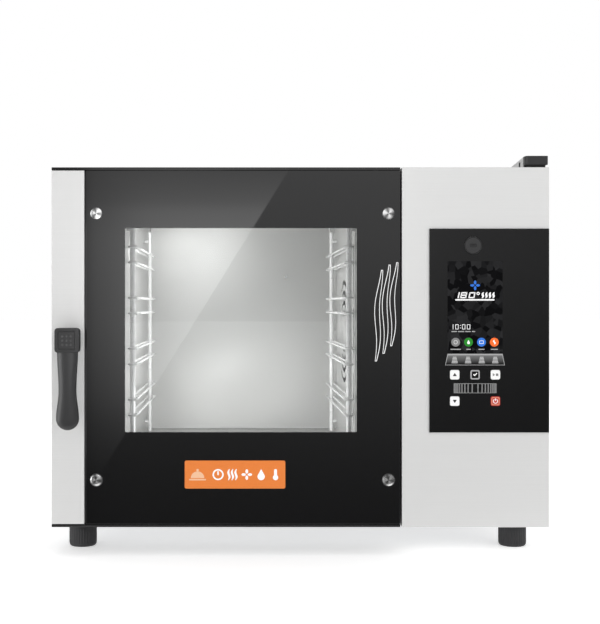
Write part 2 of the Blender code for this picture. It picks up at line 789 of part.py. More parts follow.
def service_holes(extra):
    """Cutters for what passes through the cavity's walls and jacket, each with extra on its radius."""
    fan_place = (0.0, depth(FAN_DEPTH_PLACE), height(FAN_HEIGHT_PLACE))
    side = (CHAMBER_X[1] - LINER_SHEET, JACKET_RIGHT + SHEET)
    holes = [drill_mesh("shaft_hole", "x", fan_place, side, SHAFT_RADIUS + RUN_CLEARANCE + extra)]
    for place in heater_exits():
        holes.append(drill_mesh("heater_hole", "x", place, side, HEATER_TUBE / 2 + extra, SMALL_ROUND))
    pipe_place = (0.0, *water_entry())
    holes.append(drill_mesh("pipe_hole", "x", pipe_place, side, PIPE_DIAMETER / 2 + extra, SMALL_ROUND))
    rear = depths(CAVITY_BACK - LINER_SHEET, CAVITY_BACK + 2 * INSULATION)
    probe_hole = PROBE_RADIUS + extra
    holes.append(drill_mesh("probe_hole", "y", probe_place(), rear, probe_hole, SMALL_ROUND))
    up = heights(CAVITY_TOP - LINER_SHEET, BODY_HEIGHT)
    flue_place = (FLUE_X, depth(FLUE_DEPTH), 0.0)
    holes.append(drill_mesh("flue_hole", "z", flue_place, up, FLUE_RADIUS + extra))
    down = heights(DRAIN_HEIGHT, CAVITY_FLOOR + LINER_SHEET)
    drain_place = (WINDOW_CENTRE_X, depth(drain_depth()), 0.0)
    holes.append(drill_mesh("drain_hole", "z", drain_place, down, DRAIN_RADIUS + extra))
    return holes


def cavity_liner():
    part = add_part("cavity_liner", cavity_box("cavity_liner", LINER_SHEET, CAVITY_FRONT), CAVITY_STEEL)
    join(part, chamber_box("chamber_outside", LINER_SHEET, LINER_SHEET / 2))
    cut(part, cavity_box("cavity_inside", 0.0, CAVITY_FRONT - LINER_SHEET))
    cut(part, chamber_box("chamber_inside", 0.0, 2 * LINER_SHEET))
    cut(part, *service_holes(TOUCH))


def insulation():
    """The mineral wool jacket round the cavity and its fan chamber, open at the front."""
    outer = box_mesh(
        "insulation",
        grown(CAVITY_X, LINER_SHEET + INSULATION),
        depths(CAVITY_FRONT + INSULATION_FRONT, CAVITY_BACK + INSULATION),
        grown(heights(CAVITY_FLOOR, CAVITY_TOP), INSULATION),
    )
    part = add_part("insulation", outer, WOOL)
    join(part, chamber_box("chamber_jacket", LINER_SHEET + INSULATION, 0.0))
    cut(part, cavity_box("liner_space", LINER_SHEET + TOUCH, CAVITY_FRONT))
    cut(part, chamber_box("chamber_space", LINER_SHEET + TOUCH, 2 * LINER_SHEET))
    cut(part, *service_holes(3 * TOUCH))


def door_gasket():
    inner_x = grown(CAVITY_X, GASKET_INSET)
    inner_z = grown(heights(CAVITY_FLOOR, CAVITY_TOP), GASKET_INSET)
    outer = rounded(grown(inner_x, GASKET_WIDTH), grown(inner_z, GASKET_WIDTH), GASKET_WIDTH)
    span = depths(DOOR_THICKNESS + TOUCH, FRAME_SETBACK - TOUCH)
    ring = plate_mesh("door_gasket", "front", [outer, rounded(inner_x, inner_z, GASKET_WALL)], span)
    add_part("door_gasket", ring, GREY_SILICONE)


def rail_heights():
    """Heights of the wires of each level, lower and upper."""
    found = []
    for level in range(LEVELS):
        lower = CAVITY_FLOOR + LOWEST_RAIL + level * LEVEL_PITCH
        found += [lower, lower + RAIL_PAIR]
    return found


def rack_loop(side, at_height):
    """The closed hairpin of one rail, seen from above."""
    middle = WINDOW_CENTRE_X + side * RACK_HALF_WIDTH
    radius = RACK_LOOP_WIDTH / 2
    front = depth(RACK_FRONT - RACK_OVERHANG + radius)
    back = depth(RACK_FRONT + RACK_POST_SPACING + RACK_OVERHANG - radius)
    outline = arc((middle, back), radius, 0, 180, CORNER) + arc((middle, front), radius, 180, 360, CORNER)
    return [(x, y, height(at_height)) for x, y in outline]


def rack(name, side):
    """A welded wire rack: two posts, the hairpins of all levels, and studs to the wall."""
    x = WINDOW_CENTRE_X + side * (RACK_HALF_WIDTH + RACK_POST_OFFSET)
    posts = []
    for back in (RACK_FRONT, RACK_FRONT + RACK_POST_SPACING):
        place = (x, depth(back), 0.0)
        span = heights(RACK_BOTTOM, RACK_TOP)
        posts.append(cylinder_mesh("post", "z", place, span, RACK_POST / 2, SMALL_ROUND))
    part = add_part(name, posts[0], POLISHED)
    for at_height in rail_heights():
        wire = tube_mesh("hairpin", rack_loop(side, at_height), RACK_WIRE, closed=True, resolution=1)
        join(part, wire)
    join(part, posts[1])
    wall = WINDOW_CENTRE_X + side * (CAVITY_WIDTH / 2 - 2 * BAFFLE_SHEET)
    for back in (RACK_FRONT, RACK_FRONT + RACK_POST_SPACING):
        for at_height in (RACK_BOTTOM + RACK_STUD_MARGIN, RACK_TOP - RACK_STUD_MARGIN):
            place = (0.0, depth(back), height(at_height))
            span = tuple(sorted((x, wall)))
            join(part, cylinder_mesh("stud", "x", place, span, RACK_STUD_RADIUS, SMALL_ROUND))


def fan_baffle():
    centre = (depth(FAN_DEPTH_PLACE), height(FAN_HEIGHT_PLACE))
    outer_y = grown(around(centre[0], CHAMBER_LENGTH), BAFFLE_LAP)
    outer_z = grown(around(centre[1], CHAMBER_HEIGHT), BAFFLE_LAP)
    loops = [rounded(outer_y, outer_z, BAFFLE_LAP)]
    for ring in range(BAFFLE_RINGS):
        radius = BAFFLE_FIRST_RING + ring * BAFFLE_RING_STEP
        for number in range(BAFFLE_ARCS):
            turn = 360 / BAFFLE_ARCS
            start = turn * number + BAFFLE_FIRST_TURN + BAFFLE_BRIDGE
            end = start + turn - 2 * BAFFLE_BRIDGE
            loops.append(arc_slot(centre, radius, BAFFLE_SLOT, start, end))
    for side in (-1, 1):
        y = centre[0] + side * (CHAMBER_LENGTH / 2 - OUTLET_SLOT_WIDTH)
        for row in (-1, 0, 1):
            z = centre[1] + row * (OUTLET_SLOT_LENGTH + 2 * OUTLET_SLOT_WIDTH)
            loops.append(rounded(around(y, OUTLET_SLOT_WIDTH), around(z, OUTLET_SLOT_LENGTH)))
    span = (CAVITY_X[1] - TOUCH - BAFFLE_SHEET, CAVITY_X[1] - TOUCH)
    add_part("fan_baffle", plate_mesh("fan_baffle", "side", loops, span), CAVITY_STEEL)


def fan_wheel():
    """The circulation fan: back plate, hub and shaft, blades and front ring, about the fan axis."""
    centre = (0.0, depth(FAN_DEPTH_PLACE), height(FAN_HEIGHT_PLACE))
    front = CHAMBER_X[0] + FAN_OFFSET
    back = front + FAN_WIDTH
    origin = (back, centre[1], centre[2])
    plate = cylinder_mesh("fan_wheel", "x", centre, (back - FAN_SHEET, back), FAN_RADIUS)
    part = add_part("fan_wheel", plate, POLISHED, origin)
    loops = [circle((0.0, 0.0), FAN_RADIUS), circle((0.0, 0.0), FAN_EYE)]
    shapes = [plate_mesh("fan_ring", "side", loops, (front - back, front - back + FAN_SHEET))]
    end = JACKET_RIGHT + MOTOR_FLANGE + MOTOR_BORE_DEPTH / 2 - back
    shaft_span = (-FAN_SHEET / 2, end)
    shapes.append(cylinder_mesh("shaft", "x", (0.0, 0.0, 0.0), shaft_span, SHAFT_RADIUS, SHAFT_ROUND))
    hub_span = (-FAN_HUB_LENGTH, -FAN_SHEET / 2)
    shapes.append(cylinder_mesh("hub", "x", (0.0, 0.0, 0.0), hub_span, FAN_HUB_RADIUS, MEDIUM_ROUND))
    for number in range(FAN_BLADES):
        middle = FAN_RADIUS - FAN_SHEET - FAN_BLADE_LENGTH / 2
        blade = box_mesh(
            "blade",
            (front - back + FAN_SHEET / 2, -FAN_SHEET / 2),
            around(middle, FAN_BLADE_LENGTH),
            around(0.0, FAN_SHEET),
        )
        lean = Matrix.Rotation(math.radians(FAN_BLADE_LEAN), 4, "X")
        blade.transform(Matrix.Translation((0.0, -middle, 0.0)))
        blade.transform(Matrix.Translation((0.0, middle, 0.0)) @ lean)
        blade.transform(Matrix.Rotation(math.tau * number / FAN_BLADES, 4, "X"))
        shapes.append(blade)
    for shape in shapes:
        shape.transform(Matrix.Translation(origin))
    join(part, *shapes)


def fan_motor():
    place = (0.0, depth(FAN_DEPTH_PLACE), height(FAN_HEIGHT_PLACE))
    start = JACKET_RIGHT + TOUCH
    body_span = (start + MOTOR_FLANGE / 2, start + MOTOR_FLANGE + MOTOR_LENGTH)
    body = cylinder_mesh("fan_motor", "x", place, body_span, MOTOR_RADIUS)
    part = add_part("fan_motor", body, MOTOR_PAINT)
    join(part, cylinder_mesh("flange", "x", place, (start, start + MOTOR_FLANGE), MOTOR_FLANGE_RADIUS))
    bore = (start - MOTOR_FLANGE, start + MOTOR_FLANGE + MOTOR_BORE_DEPTH)
    cut(part, drill_mesh("bore", "x", place, bore, SHAFT_RADIUS + RUN_CLEARANCE, SMALL_ROUND))


def heater_exits():
    """Where the heater's two ends leave the chamber."""
    y = depth(FAN_DEPTH_PLACE)
    z = height(FAN_HEIGHT_PLACE)
    return [(0.0, y + HEATER_RADIUS, z), (0.0, y + HEATER_RADIUS + HEATER_STEP, z)]


def heating_element():
    """A tube wound round the fan, with both ends leaving through the chamber's wall."""
    y = depth(FAN_DEPTH_PLACE)
    z = height(FAN_HEIGHT_PLACE)
    last = CHAMBER_X[0] + CHAMBER_WIDTH / 2 + HEATER_PITCH * HEATER_TURNS / 2
    tail = JACKET_RIGHT + HEATER_TAIL
    steps = HEATER_SEGMENTS * HEATER_TURNS
    points = [(tail, y + HEATER_RADIUS, z)]
    for step in range(steps + 1):
        angle = math.tau * HEATER_TURNS * step / steps
        x = last - HEATER_PITCH * HEATER_TURNS * step / steps
        points.append((x, y + HEATER_RADIUS * math.cos(angle), z + HEATER_RADIUS * math.sin(angle)))
    outer = y + HEATER_RADIUS + HEATER_STEP
    points.append((points[-1][0], outer, z))
    points.append((tail, outer, z))
    part_mesh = tube_mesh("heating_element", points, HEATER_TUBE, resolution=1)
    add_part("heating_element", part_mesh, ZINC_STEEL)


def water_entry():
    """(y, z) where the steam water pipe enters the fan chamber, below and behind the fan."""
    inset = HEATER_TUBE + BAFFLE_LAP
    y = depth(CHAMBER_FRONT + CHAMBER_LENGTH - inset)
    z = height(FAN_HEIGHT_PLACE - CHAMBER_HEIGHT / 2 + inset)
    return (y, z)


def water_pipe():
    y, z = water_entry()
    valve_y = depth(REAR_INNER - TOUCH - VALVE_SIZE / 2)
    route = [
        (CHAMBER_X[1] - INSULATION / 3, y, z),
        (VALVE_X, y, z),
        (VALVE_X, valve_y, z),
        (VALVE_X, valve_y, height(VALVE_HEIGHT) + VALVE_SIZE / 2 + TOUCH),
    ]
    pipe = tube_mesh("water_pipe", round_corners(route, 2 * PIPE_DIAMETER), PIPE_DIAMETER)
    add_part("water_pipe", pipe, POLISHED)


def water_valve():
    y = depths(REAR_INNER - TOUCH - VALVE_SIZE, REAR_INNER - TOUCH)
    z = around(height(VALVE_HEIGHT), VALVE_SIZE)
    part = add_part("water_valve", box_mesh("water_valve", around(VALVE_X, VALVE_SIZE), y, z), BRASS)
    place = (VALVE_X, 0.0, height(VALVE_HEIGHT))
    thread = (y[1] - VALVE_SIZE / 4, depth(BODY_DEPTH + REAR_FITTING_REACH))
    join(part, cylinder_mesh("inlet", "y", place, thread, VALVE_THREAD_RADIUS, THREAD_ROUND))
    bore = (y[1], depth(BODY_DEPTH + 2 * REAR_FITTING_REACH))
    cut(part, drill_mesh("inlet_bore", "y", place, bore, VALVE_BORE_RADIUS, SMALL_ROUND))
    coil_place = (VALVE_X - VALVE_SIZE / 2, sum(y) / 2, height(VALVE_HEIGHT))
    coil = (VALVE_X - VALVE_COIL_REACH, VALVE_X)
    join(part, cylinder_mesh("coil", "x", coil_place, coil, VALVE_COIL_RADIUS, SMALL_ROUND))


def probe_place():
    return (WINDOW_CENTRE_X + CAVITY_WIDTH / 4, 0.0, height(CAVITY_TOP - CAVITY_HEIGHT / 4))


def temperature_probe():
    boss_front = CAVITY_BACK + INSULATION + TOUCH
    rod = depths(CAVITY_BACK - PROBE_REACH, boss_front + PROBE_BOSS_RADIUS / 2)
    mesh = cylinder_mesh("temperature_probe", "y", probe_place(), rod, PROBE_RADIUS, SMALL_ROUND)
    part = add_part("temperature_probe", mesh, POLISHED)
    boss = depths(boss_front, boss_front + PROBE_BOSS_RADIUS)
    join(part, cylinder_mesh("boss", "y", probe_place(), boss, PROBE_BOSS_RADIUS, SMALL_ROUND))


def drain_depth():
    return CAVITY_FRONT + CAVITY_DEPTH / 2


def drain_pipe():
    """The floor drain: an elbow from the cavity floor to the back, open at both ends."""
    x = WINDOW_CENTRE_X
    turn = depth(drain_depth())
    top = height(CAVITY_FLOOR) + LINER_SHEET
    level = height(DRAIN_HEIGHT)
    end = depth(BODY_DEPTH + REAR_FITTING_REACH)
    vertical = (level, top)
    part = add_part(
        "drain_pipe", cylinder_mesh("drain_pipe", "z", (x, turn, 0.0), vertical, DRAIN_RADIUS), POLISHED
    )
    join(part, cylinder_mesh("run", "y", (x, 0.0, level), (turn - DRAIN_RADIUS, end), DRAIN_RADIUS))
    bore = DRAIN_RADIUS - DRAIN_WALL
    cut(part, drill_mesh("drop_bore", "z", (x, turn, 0.0), (level, top + DRAIN_RADIUS), bore))
    cut(part, drill_mesh("run_bore", "y", (x, 0.0, level), (turn - bore, end + DRAIN_RADIUS), bore))


def flue_pipe():
    low = height(CAVITY_TOP) - LINER_SHEET
    high = height(BODY_HEIGHT + FLUE_RISE)
    inner = FLUE_RADIUS - FLUE_WALL
    profile = [(FLUE_RADIUS, high), (FLUE_RADIUS, low), (inner, low), (inner, high)]
    part = turned_part(
        "flue_pipe", "z", (FLUE_X, depth(FLUE_DEPTH), 0.0), profile, POLISHED, closed=True
    )
    shaft_hole = DAMPER_SHAFT_RADIUS + TOUCH
    span = grown(around(FLUE_X, 2 * FLUE_RADIUS), FLUE_WALL)
    cut(part, drill_mesh("shaft_hole", "x", damper_place(), span, shaft_hole, SMALL_ROUND))


def damper_height():
    jacket_top = CAVITY_TOP + INSULATION
    return (jacket_top + BODY_HEIGHT - SHEET) / 2


def damper_place():
    return (FLUE_X, depth(FLUE_DEPTH), height(damper_height()))


def flue_damper():
    """The butterfly plate in the flue, on a shaft whose end carries the drive disc."""
    place = damper_place()
    disc_radius = FLUE_RADIUS - FLUE_WALL - RUN_CLEARANCE
    disc = cylinder_mesh("flue_damper", "z", place, around(place[2], DAMPER_SHEET), disc_radius)
    part = add_part("flue_damper", disc, POLISHED, place)
    end = FLUE_RADIUS + DAMPER_REACH
    place_zero = (0.0, 0.0, 0.0)
    shaft = cylinder_mesh("shaft", "x", place_zero, (-FLUE_RADIUS, end), DAMPER_SHAFT_RADIUS, SMALL_ROUND)
    drive_span = (end - DAMPER_REACH / 3, end)
    drive = cylinder_mesh("drive", "x", place_zero, drive_span, DAMPER_DISC_RADIUS, MEDIUM_ROUND)
    for shape in (shaft, drive):
        shape.transform(Matrix.Translation(place))
        join(part, shape)


# Door


def door_heights():
    return heights(RAIL_THICKNESS + 2 * TOUCH, BODY_HEIGHT - RAIL_THICKNESS - 2 * TOUCH)


def window_outline(margin):
    """(x, z) spans of the window, grown by a margin."""
    return grown(WINDOW_X, margin), grown(heights(WINDOW_BOTTOM, WINDOW_BOTTOM + WINDOW_HEIGHT), margin)


def door_frame():
    """A folded pan behind the outer glass, open at the back, with a wall round the window."""
    front = FRAME_FRONT
    past = FRAME_BACK + SHEET
    z = door_heights()
    block = box_mesh("door_frame", (LEFT, DOOR_RIGHT), depths(front, FRAME_BACK), z)
    part = add_part("door_frame", block, BLACK_STEEL)
    pan_right = DOOR_RIGHT - DOOR_STEP
    pocket = rounded((LEFT + SHEET, pan_right - SHEET), grown(z, -SHEET))
    sleeve = rounded(*window_outline(WINDOW_MARGIN + SHEET))
    cut(part, plate_mesh("pocket", "front", [pocket, sleeve], depths(front + SHEET, past)))
    window_x, window_z = window_outline(WINDOW_MARGIN)
    cut(part, box_mesh("window", window_x, depths(front - SHEET, past), window_z))
    beyond = grown(z, SHEET)
    step_x = (pan_right, DOOR_RIGHT + SHEET)
    cut(part, box_mesh("step", step_x, depths(front + DOOR_EDGE_DEPTH, past), beyond))
    channel_x = (pan_right, DOOR_RIGHT - SHEET)
    channel_y = depths(front + SHEET, front + DOOR_EDGE_DEPTH + SHEET)
    cut(part, box_mesh("channel", channel_x, channel_y, beyond))
    inside = grown(z, -SHEET / 2)
    block_y = (depth(front + SHEET / 2), depth(HINGE_DEPTH) + HINGE_BLOCK / 2)
    hole_place = (HINGE_X, depth(HINGE_DEPTH), 0.0)
    for block_z in (
        (inside[0], inside[0] + HINGE_BLOCK_HEIGHT),
        (inside[1] - HINGE_BLOCK_HEIGHT, inside[1]),
    ):
        join(part, box_mesh("hinge_block", around(HINGE_X, HINGE_BLOCK), block_y, block_z))
        radius = bush_radius() + TOUCH
        cut(part, drill_mesh("bush_hole", "z", hole_place, grown(block_z, SHEET), radius, MEDIUM_ROUND))
    wall = depths(front - SHEET, front + 2 * SHEET)
    for x, up in bolt_places():
        radius = BOLT_SHANK_RADIUS + TOUCH
        cut(part, drill_mesh("bolt_hole", "y", (x, 0.0, up), wall, radius, SMALL_ROUND))
    x, up = handle_place()
    radius = SPINDLE_RADIUS + RUN_CLEARANCE
    cut(part, drill_mesh("spindle_hole", "y", (x, 0.0, up), wall, radius, MEDIUM_ROUND))


def bush_radius():
    return PIN_RADIUS + TOUCH + BUSH_WALL


def hinge_bushes():
    low, high = door_heights()
    inner = PIN_RADIUS + TOUCH
    outer = bush_radius()
    place = (HINGE_X, depth(HINGE_DEPTH), 0.0)
    ends = {
        "hinge_bush_bottom": (low, low + HINGE_BLOCK_HEIGHT),
        "hinge_bush_top": (high - HINGE_BLOCK_HEIGHT, high),
    }
    for name, (start, end) in ends.items():
        profile = [(outer, end), (outer, start), (inner, start), (inner, end)]
        turned_part(name, "z", place, profile, WHITE_PLASTIC, closed=True, sides=MEDIUM_ROUND)


def bolt_places():
    places = []
    for x in (LEFT + BOLT_LEFT_INSET, DOOR_RIGHT - BOLT_RIGHT_INSET):
        for up in (BOLT_BOTTOM_HEIGHT, BOLT_TOP_HEIGHT):
            places.append((x, height(up)))
    return places


def glass_bolts():
    """Dome-headed bolts that clamp the outer glass to the door frame."""
    names = [f"glass_bolt_{side}_{level}" for side in ("left", "right") for level in ("lower", "upper")]
    profile = [(BOLT_HEAD_RADIUS * out, BOLT_HEAD_HEIGHT * up) for out, up in BOLT_DOME]
    profile += [(BOLT_HEAD_RADIUS, 0.0), (BOLT_SHANK_RADIUS, 0.0), (BOLT_SHANK_RADIUS, -BOLT_LENGTH)]
    profile += [(0.0, -BOLT_LENGTH)]
    for name, (x, z) in zip(names, bolt_places()):
        bolt = turned_part(name, "z", (x, depth(-TOUCH), z), profile, POLISHED, sides=SHAFT_ROUND)
        bolt.rotation_euler = (math.radians(90), 0.0, 0.0)


def outer_glass():
    loops = [rounded((GLASS_LEFT, DOOR_RIGHT), door_heights())]
    for place in bolt_places():
        loops.append(hole(place, BOLT_SHANK_RADIUS + TOUCH, SMALL_ROUND))
    pane = plate_mesh("outer_glass", "front", loops, depths(0.0, OUTER_GLASS))
    add_part("outer_glass", pane, BLACK_GLASS)


def handle_place():
    return (HANDLE_X, height(HANDLE_AXIS_HEIGHT))


def handle_strip():
    """The light trim beside the glass, folded to a shallow pan that is open at the back."""
    x = (LEFT, STRIP_RIGHT)
    z = door_heights()
    part = add_part("handle_strip", box_mesh("handle_strip", x, depths(0.0, OUTER_GLASS), z), LIGHT_STEEL)
    hollow = depths(SHEET, 2 * OUTER_GLASS)
    cut(part, box_mesh("strip_hollow", grown(x, -SHEET), hollow, grown(z, -SHEET)))
    place = (handle_place()[0], 0.0, handle_place()[1])
    wall = depths(-SHEET, OUTER_GLASS)
    radius = SPINDLE_RADIUS + RUN_CLEARANCE
    cut(part, drill_mesh("spindle_hole", "y", place, wall, radius, MEDIUM_ROUND))


def door_inner_panel():
    """The sheet that closes the back of the door and carries the inner glass."""
    front = PANEL_BACK - LINER_SHEET
    x = (LEFT + INNER_PANEL_SIDE, DOOR_RIGHT - DOOR_STEP - SHEET)
    z = grown(heights(RAIL_THICKNESS, BODY_HEIGHT - RAIL_THICKNESS), -INNER_PANEL_SIDE)
    loops = [rounded(x, z), rounded(*window_outline(WINDOW_MARGIN))]
    loops.append(hole(handle_place(), SPINDLE_RADIUS + RUN_CLEARANCE, MEDIUM_ROUND))
    panel = plate_mesh("door_inner_panel", "front", loops, depths(front, front + LINER_SHEET))
    add_part("door_inner_panel", panel, CAVITY_STEEL)


def inner_glass():
    x = grown(CAVITY_X, INNER_GLASS_LAP)
    z = grown(heights(CAVITY_FLOOR, CAVITY_TOP), INNER_GLASS_LAP)
    outline = rounded(x, z, GASKET_WALL)
    span = depths(DOOR_THICKNESS - INNER_GLASS, DOOR_THICKNESS)
    add_part("inner_glass", plate_mesh("inner_glass", "front", [outline], span), CLEAR_GLASS)


def led_bar():
    """The cavity light: a bar between the panes, hidden beside the window."""
    right = WINDOW_X[0] - WINDOW_MARGIN - SHEET - LED_OFFSET
    middle = height(WINDOW_BOTTOM + WINDOW_HEIGHT / 2)
    y = depths(FRAME_BACK - LED_THICKNESS, FRAME_BACK)
    bar = box_mesh("led_bar", (right - LED_WIDTH, right), y, around(middle, LED_HEIGHT))
    add_part("led_bar", bar, WHITE_PLASTIC)


def badge_plate():
    x = around(BADGE_CENTRE_X, BADGE_WIDTH)
    z = heights(BADGE_BOTTOM, BADGE_BOTTOM + BADGE_HEIGHT)
    span = depths(-TOUCH - BADGE_THICKNESS, -TOUCH)
    add_part("badge_plate", plate_mesh("badge_plate", "front", [rounded(x, z, KEY_CORNER)], span), ORANGE)


def grip_outline():
    """Front outline of the lever: a square head, a waist and a round bulb at the lower end."""
    x, z = handle_place()
    half = HANDLE_HEAD / 2
    bulb = HANDLE_BULB / 2
    waist = HANDLE_WAIST / 2
    top = z + half
    bottom = z - HANDLE_DROP
    bulb_z = bottom + bulb
    corner = (x + half - HANDLE_HEAD_CORNER, top - HANDLE_HEAD_CORNER)
    right = [(x + half, top - HANDLE_HEAD_CORNER)]
    right += arc(corner, HANDLE_HEAD_CORNER, 0, 90, 3)[1:]
    right.reverse()
    right.append((x + half, z - half * HANDLE_SHOULDER))
    neck = z - half * HANDLE_NECK_DROP
    steps = 8
    for step in range(steps + 1):
        t = step / steps
        level = neck + (bulb_z - neck) * t
        width = waist + (half * HANDLE_NECK_WIDTH - waist) * (1 - t) ** 3 + (bulb - waist) * t**3
        right.append((x + width, level))
    right += arc((x, bulb_z), bulb, 0, -90, 5)[1:]
    left = [(2 * x - px, pz) for px, pz in reversed(right[:-1])]
    return right + left


def handle_lever():
    """The lever, with a boss under its head that stands on the door's strip."""
    x, z = handle_place()
    grip_span = depths(-HANDLE_REACH, -HANDLE_REACH + GRIP_THICKNESS)
    grip = plate_mesh("handle_lever", "front", [grip_outline()], grip_span, GRIP_ROUNDING)
    part = add_part("handle_lever", grip, BLACK_PLASTIC, (x, depth(0.0), z))
    boss_y = (depth(-HANDLE_REACH) + GRIP_THICKNESS / 2, depth(-HEAD_STANDOFF))
    side = HANDLE_HEAD - 2 * GRIP_ROUNDING
    local = box_mesh("boss", around(x, side), boss_y, around(z, side))
    join(part, local)
    socket = (depth(-HANDLE_REACH / 2), depth(0.0))
    place = (x, 0.0, z)
    cut(part, drill_mesh("socket", "y", place, socket, SPINDLE_RADIUS + TOUCH, MEDIUM_ROUND))


def latch_spindle():
    """The spindle that the lever turns, with the latch tongue on its inner end."""
    x, z = handle_place()
    tongue_front = PANEL_BACK + TONGUE_GAP
    tongue_back = tongue_front + TONGUE_THICKNESS
    along = depths(-HANDLE_REACH / 2 + TOUCH, tongue_back)
    spindle = cylinder_mesh("latch_spindle", "y", (x, 0.0, z), along, SPINDLE_RADIUS, MEDIUM_ROUND)
    part = add_part("latch_spindle", spindle, ZINC_STEEL, (x, depth(0.0), z))
    tongue_z = (z - TONGUE_LENGTH, z + TONGUE_WIDTH / 2)
    tongue_y = depths(tongue_front, tongue_back - TOUCH)
    join(part, box_mesh("tongue", around(x, TONGUE_WIDTH), tongue_y, tongue_z))


def latch_keeper():
    """The stud on the front frame that the tongue closes against."""
    x, z = handle_place()
    stud_x = x - TONGUE_WIDTH / 2 - KEEPER_RADIUS - RUN_CLEARANCE
    stud_z = z - KEEPER_DROP
    plate_y = depths(FRAME_SETBACK - TOUCH - KEEPER_BASE_THICKNESS, FRAME_SETBACK - TOUCH)
    base_x = around(x, KEEPER_BASE[0] + KEEPER_RADIUS)
    base = box_mesh("latch_keeper", base_x, plate_y, around(stud_z, KEEPER_BASE[1]))
    part = add_part("latch_keeper", base, ZINC_STEEL)
    stud_y = (depth(PANEL_BACK + TONGUE_GAP), plate_y[1] - TOUCH)
    join(part, cylinder_mesh("stud", "y", (stud_x, 0.0, stud_z), stud_y, KEEPER_RADIUS, SMALL_ROUND))


# Control column


def column_front():
    """The steel pan of the control column, open at the back, with the control opening in its face."""
    x = (COLUMN_LEFT, RIGHT)
    z = heights(0.0, BODY_HEIGHT)
    part = add_part("column_front", box_mesh("column_front", x, depths(0.0, RAIL_DEPTH), z), LIGHT_STEEL)
    cut(part, box_mesh("pan", grown(x, -SHEET), depths(SHEET, 2 * RAIL_DEPTH), grown(z, -SHEET)))
    hole_x = grown(CONTROL_GLASS_X, -CONTROL_OPENING_MARGIN)
    hole_z = grown(control_glass_z(), -CONTROL_OPENING_MARGIN)
    cut(part, box_mesh("control_opening", hole_x, depths(-SHEET, 2 * SHEET), hole_z))
    vent_x, vent_y = vent_place()
    up = (z[1] - 2 * SHEET, z[1] + SHEET)
    slot_y = (vent_y[0] + VENT_CAP_LENGTH + 2 * SHEET, depth(RAIL_DEPTH) - 2 * SHEET)
    cut(part, box_mesh("vent_opening", grown(vent_x, -4 * SHEET), slot_y, up))


def control_glass_z():
    return heights(CONTROL_GLASS_BOTTOM, CONTROL_GLASS_BOTTOM + CONTROL_GLASS_HEIGHT)


def key_places():
    """(x, z) of each key by name."""
    left = SCREEN_CENTRE_X - KEY_PITCH
    right = SCREEN_CENTRE_X + KEY_PITCH
    upper = height(KEY_UPPER_ROW)
    lower = height(KEY_LOWER_ROW)
    return {
        "key_up": (left, upper),
        "key_ok": (SCREEN_CENTRE_X, upper),
        "key_start_stop": (right, upper),
        "key_down": (left, lower),
        "key_power": (right, lower),
    }


def control_glass():
    loops = [rounded(CONTROL_GLASS_X, control_glass_z())]
    for x, z in key_places().values():
        size = KEY_SIZE + 2 * TOUCH
        loops.append(rounded(around(x, size), around(z, size), KEY_CORNER, 3))
    loops.append(hole((USB_X, height(USB_HEIGHT)), USB_COVER_RADIUS + TOUCH))
    span = depths(CONTROL_GLASS_FRONT, CONTROL_GLASS_BACK)
    add_part("control_glass", plate_mesh("control_glass", "front", loops, span), BLACK_GLASS)


def control_keys():
    colours = {
        "key_up": WHITE_PLASTIC,
        "key_ok": GREY_PLASTIC,
        "key_start_stop": WHITE_PLASTIC,
        "key_down": WHITE_PLASTIC,
        "key_power": RED_PLASTIC,
    }
    for name, (x, z) in key_places().items():
        cap_loop = rounded(around(x, KEY_SIZE), around(z, KEY_SIZE), KEY_CORNER, 3)
        lip_front = KEY_TRAVEL / 2
        cap = plate_mesh(name, "front", [cap_loop], depths(CONTROL_GLASS_FRONT - TOUCH, lip_front + TOUCH))
        part = add_part(name, cap, colours[name], (x, depth(CONTROL_GLASS_FRONT), z))
        size = KEY_SIZE + 2 * KEY_LIP
        lip_back = lip_front + KEY_LIP
        join(part, box_mesh("lip", around(x, size), depths(lip_front, lip_back), around(z, size)))
        stem = depths(lip_back - TOUCH, lip_back + KEY_STEM_LENGTH)
        join(part, cylinder_mesh("stem", "y", (x, 0.0, z), stem, KEY_STEM_RADIUS, SMALL_ROUND))


def display_module():
    x = grown(around(SCREEN_CENTRE_X, SCREEN_WIDTH), SCREEN_BORDER)
    z = grown(heights(SCREEN_BOTTOM, SCREEN_BOTTOM + SCREEN_HEIGHT), SCREEN_BORDER)
    mesh = box_mesh("display_module", x, depths(0.0, SCREEN_THICKNESS), z)
    add_part("display_module", mesh, BLACK_PLASTIC)


def control_board():
    """The board behind the keys and the display."""
    front = KEY_TRAVEL / 2 + KEY_LIP + KEY_STEM_LENGTH + 2 * KEY_TRAVEL
    x = grown(around(SCREEN_CENTRE_X, SCREEN_WIDTH), SCREEN_BORDER + BOARD_MARGIN)
    low = KEY_LOWER_ROW - KEY_SIZE
    high = SCREEN_BOTTOM + SCREEN_HEIGHT + SCREEN_BORDER
    mesh = box_mesh("control_board", x, depths(front, front + BOARD), heights(low, high))
    add_part("control_board", mesh, BOARD_GREEN)


def usb_socket():
    z = height(USB_HEIGHT)
    y = depths(0.0, USB_BODY[2])
    mesh = box_mesh("usb_socket", around(USB_X, USB_BODY[0]), y, around(z, USB_BODY[1]))
    part = add_part("usb_socket", mesh, POLISHED)
    port = depths(-SHEET, USB_PORT_DEPTH + 2 * TOUCH)
    cut(part, box_mesh("port", around(USB_X, USB_PORT[0]), port, around(z, USB_PORT[1])))


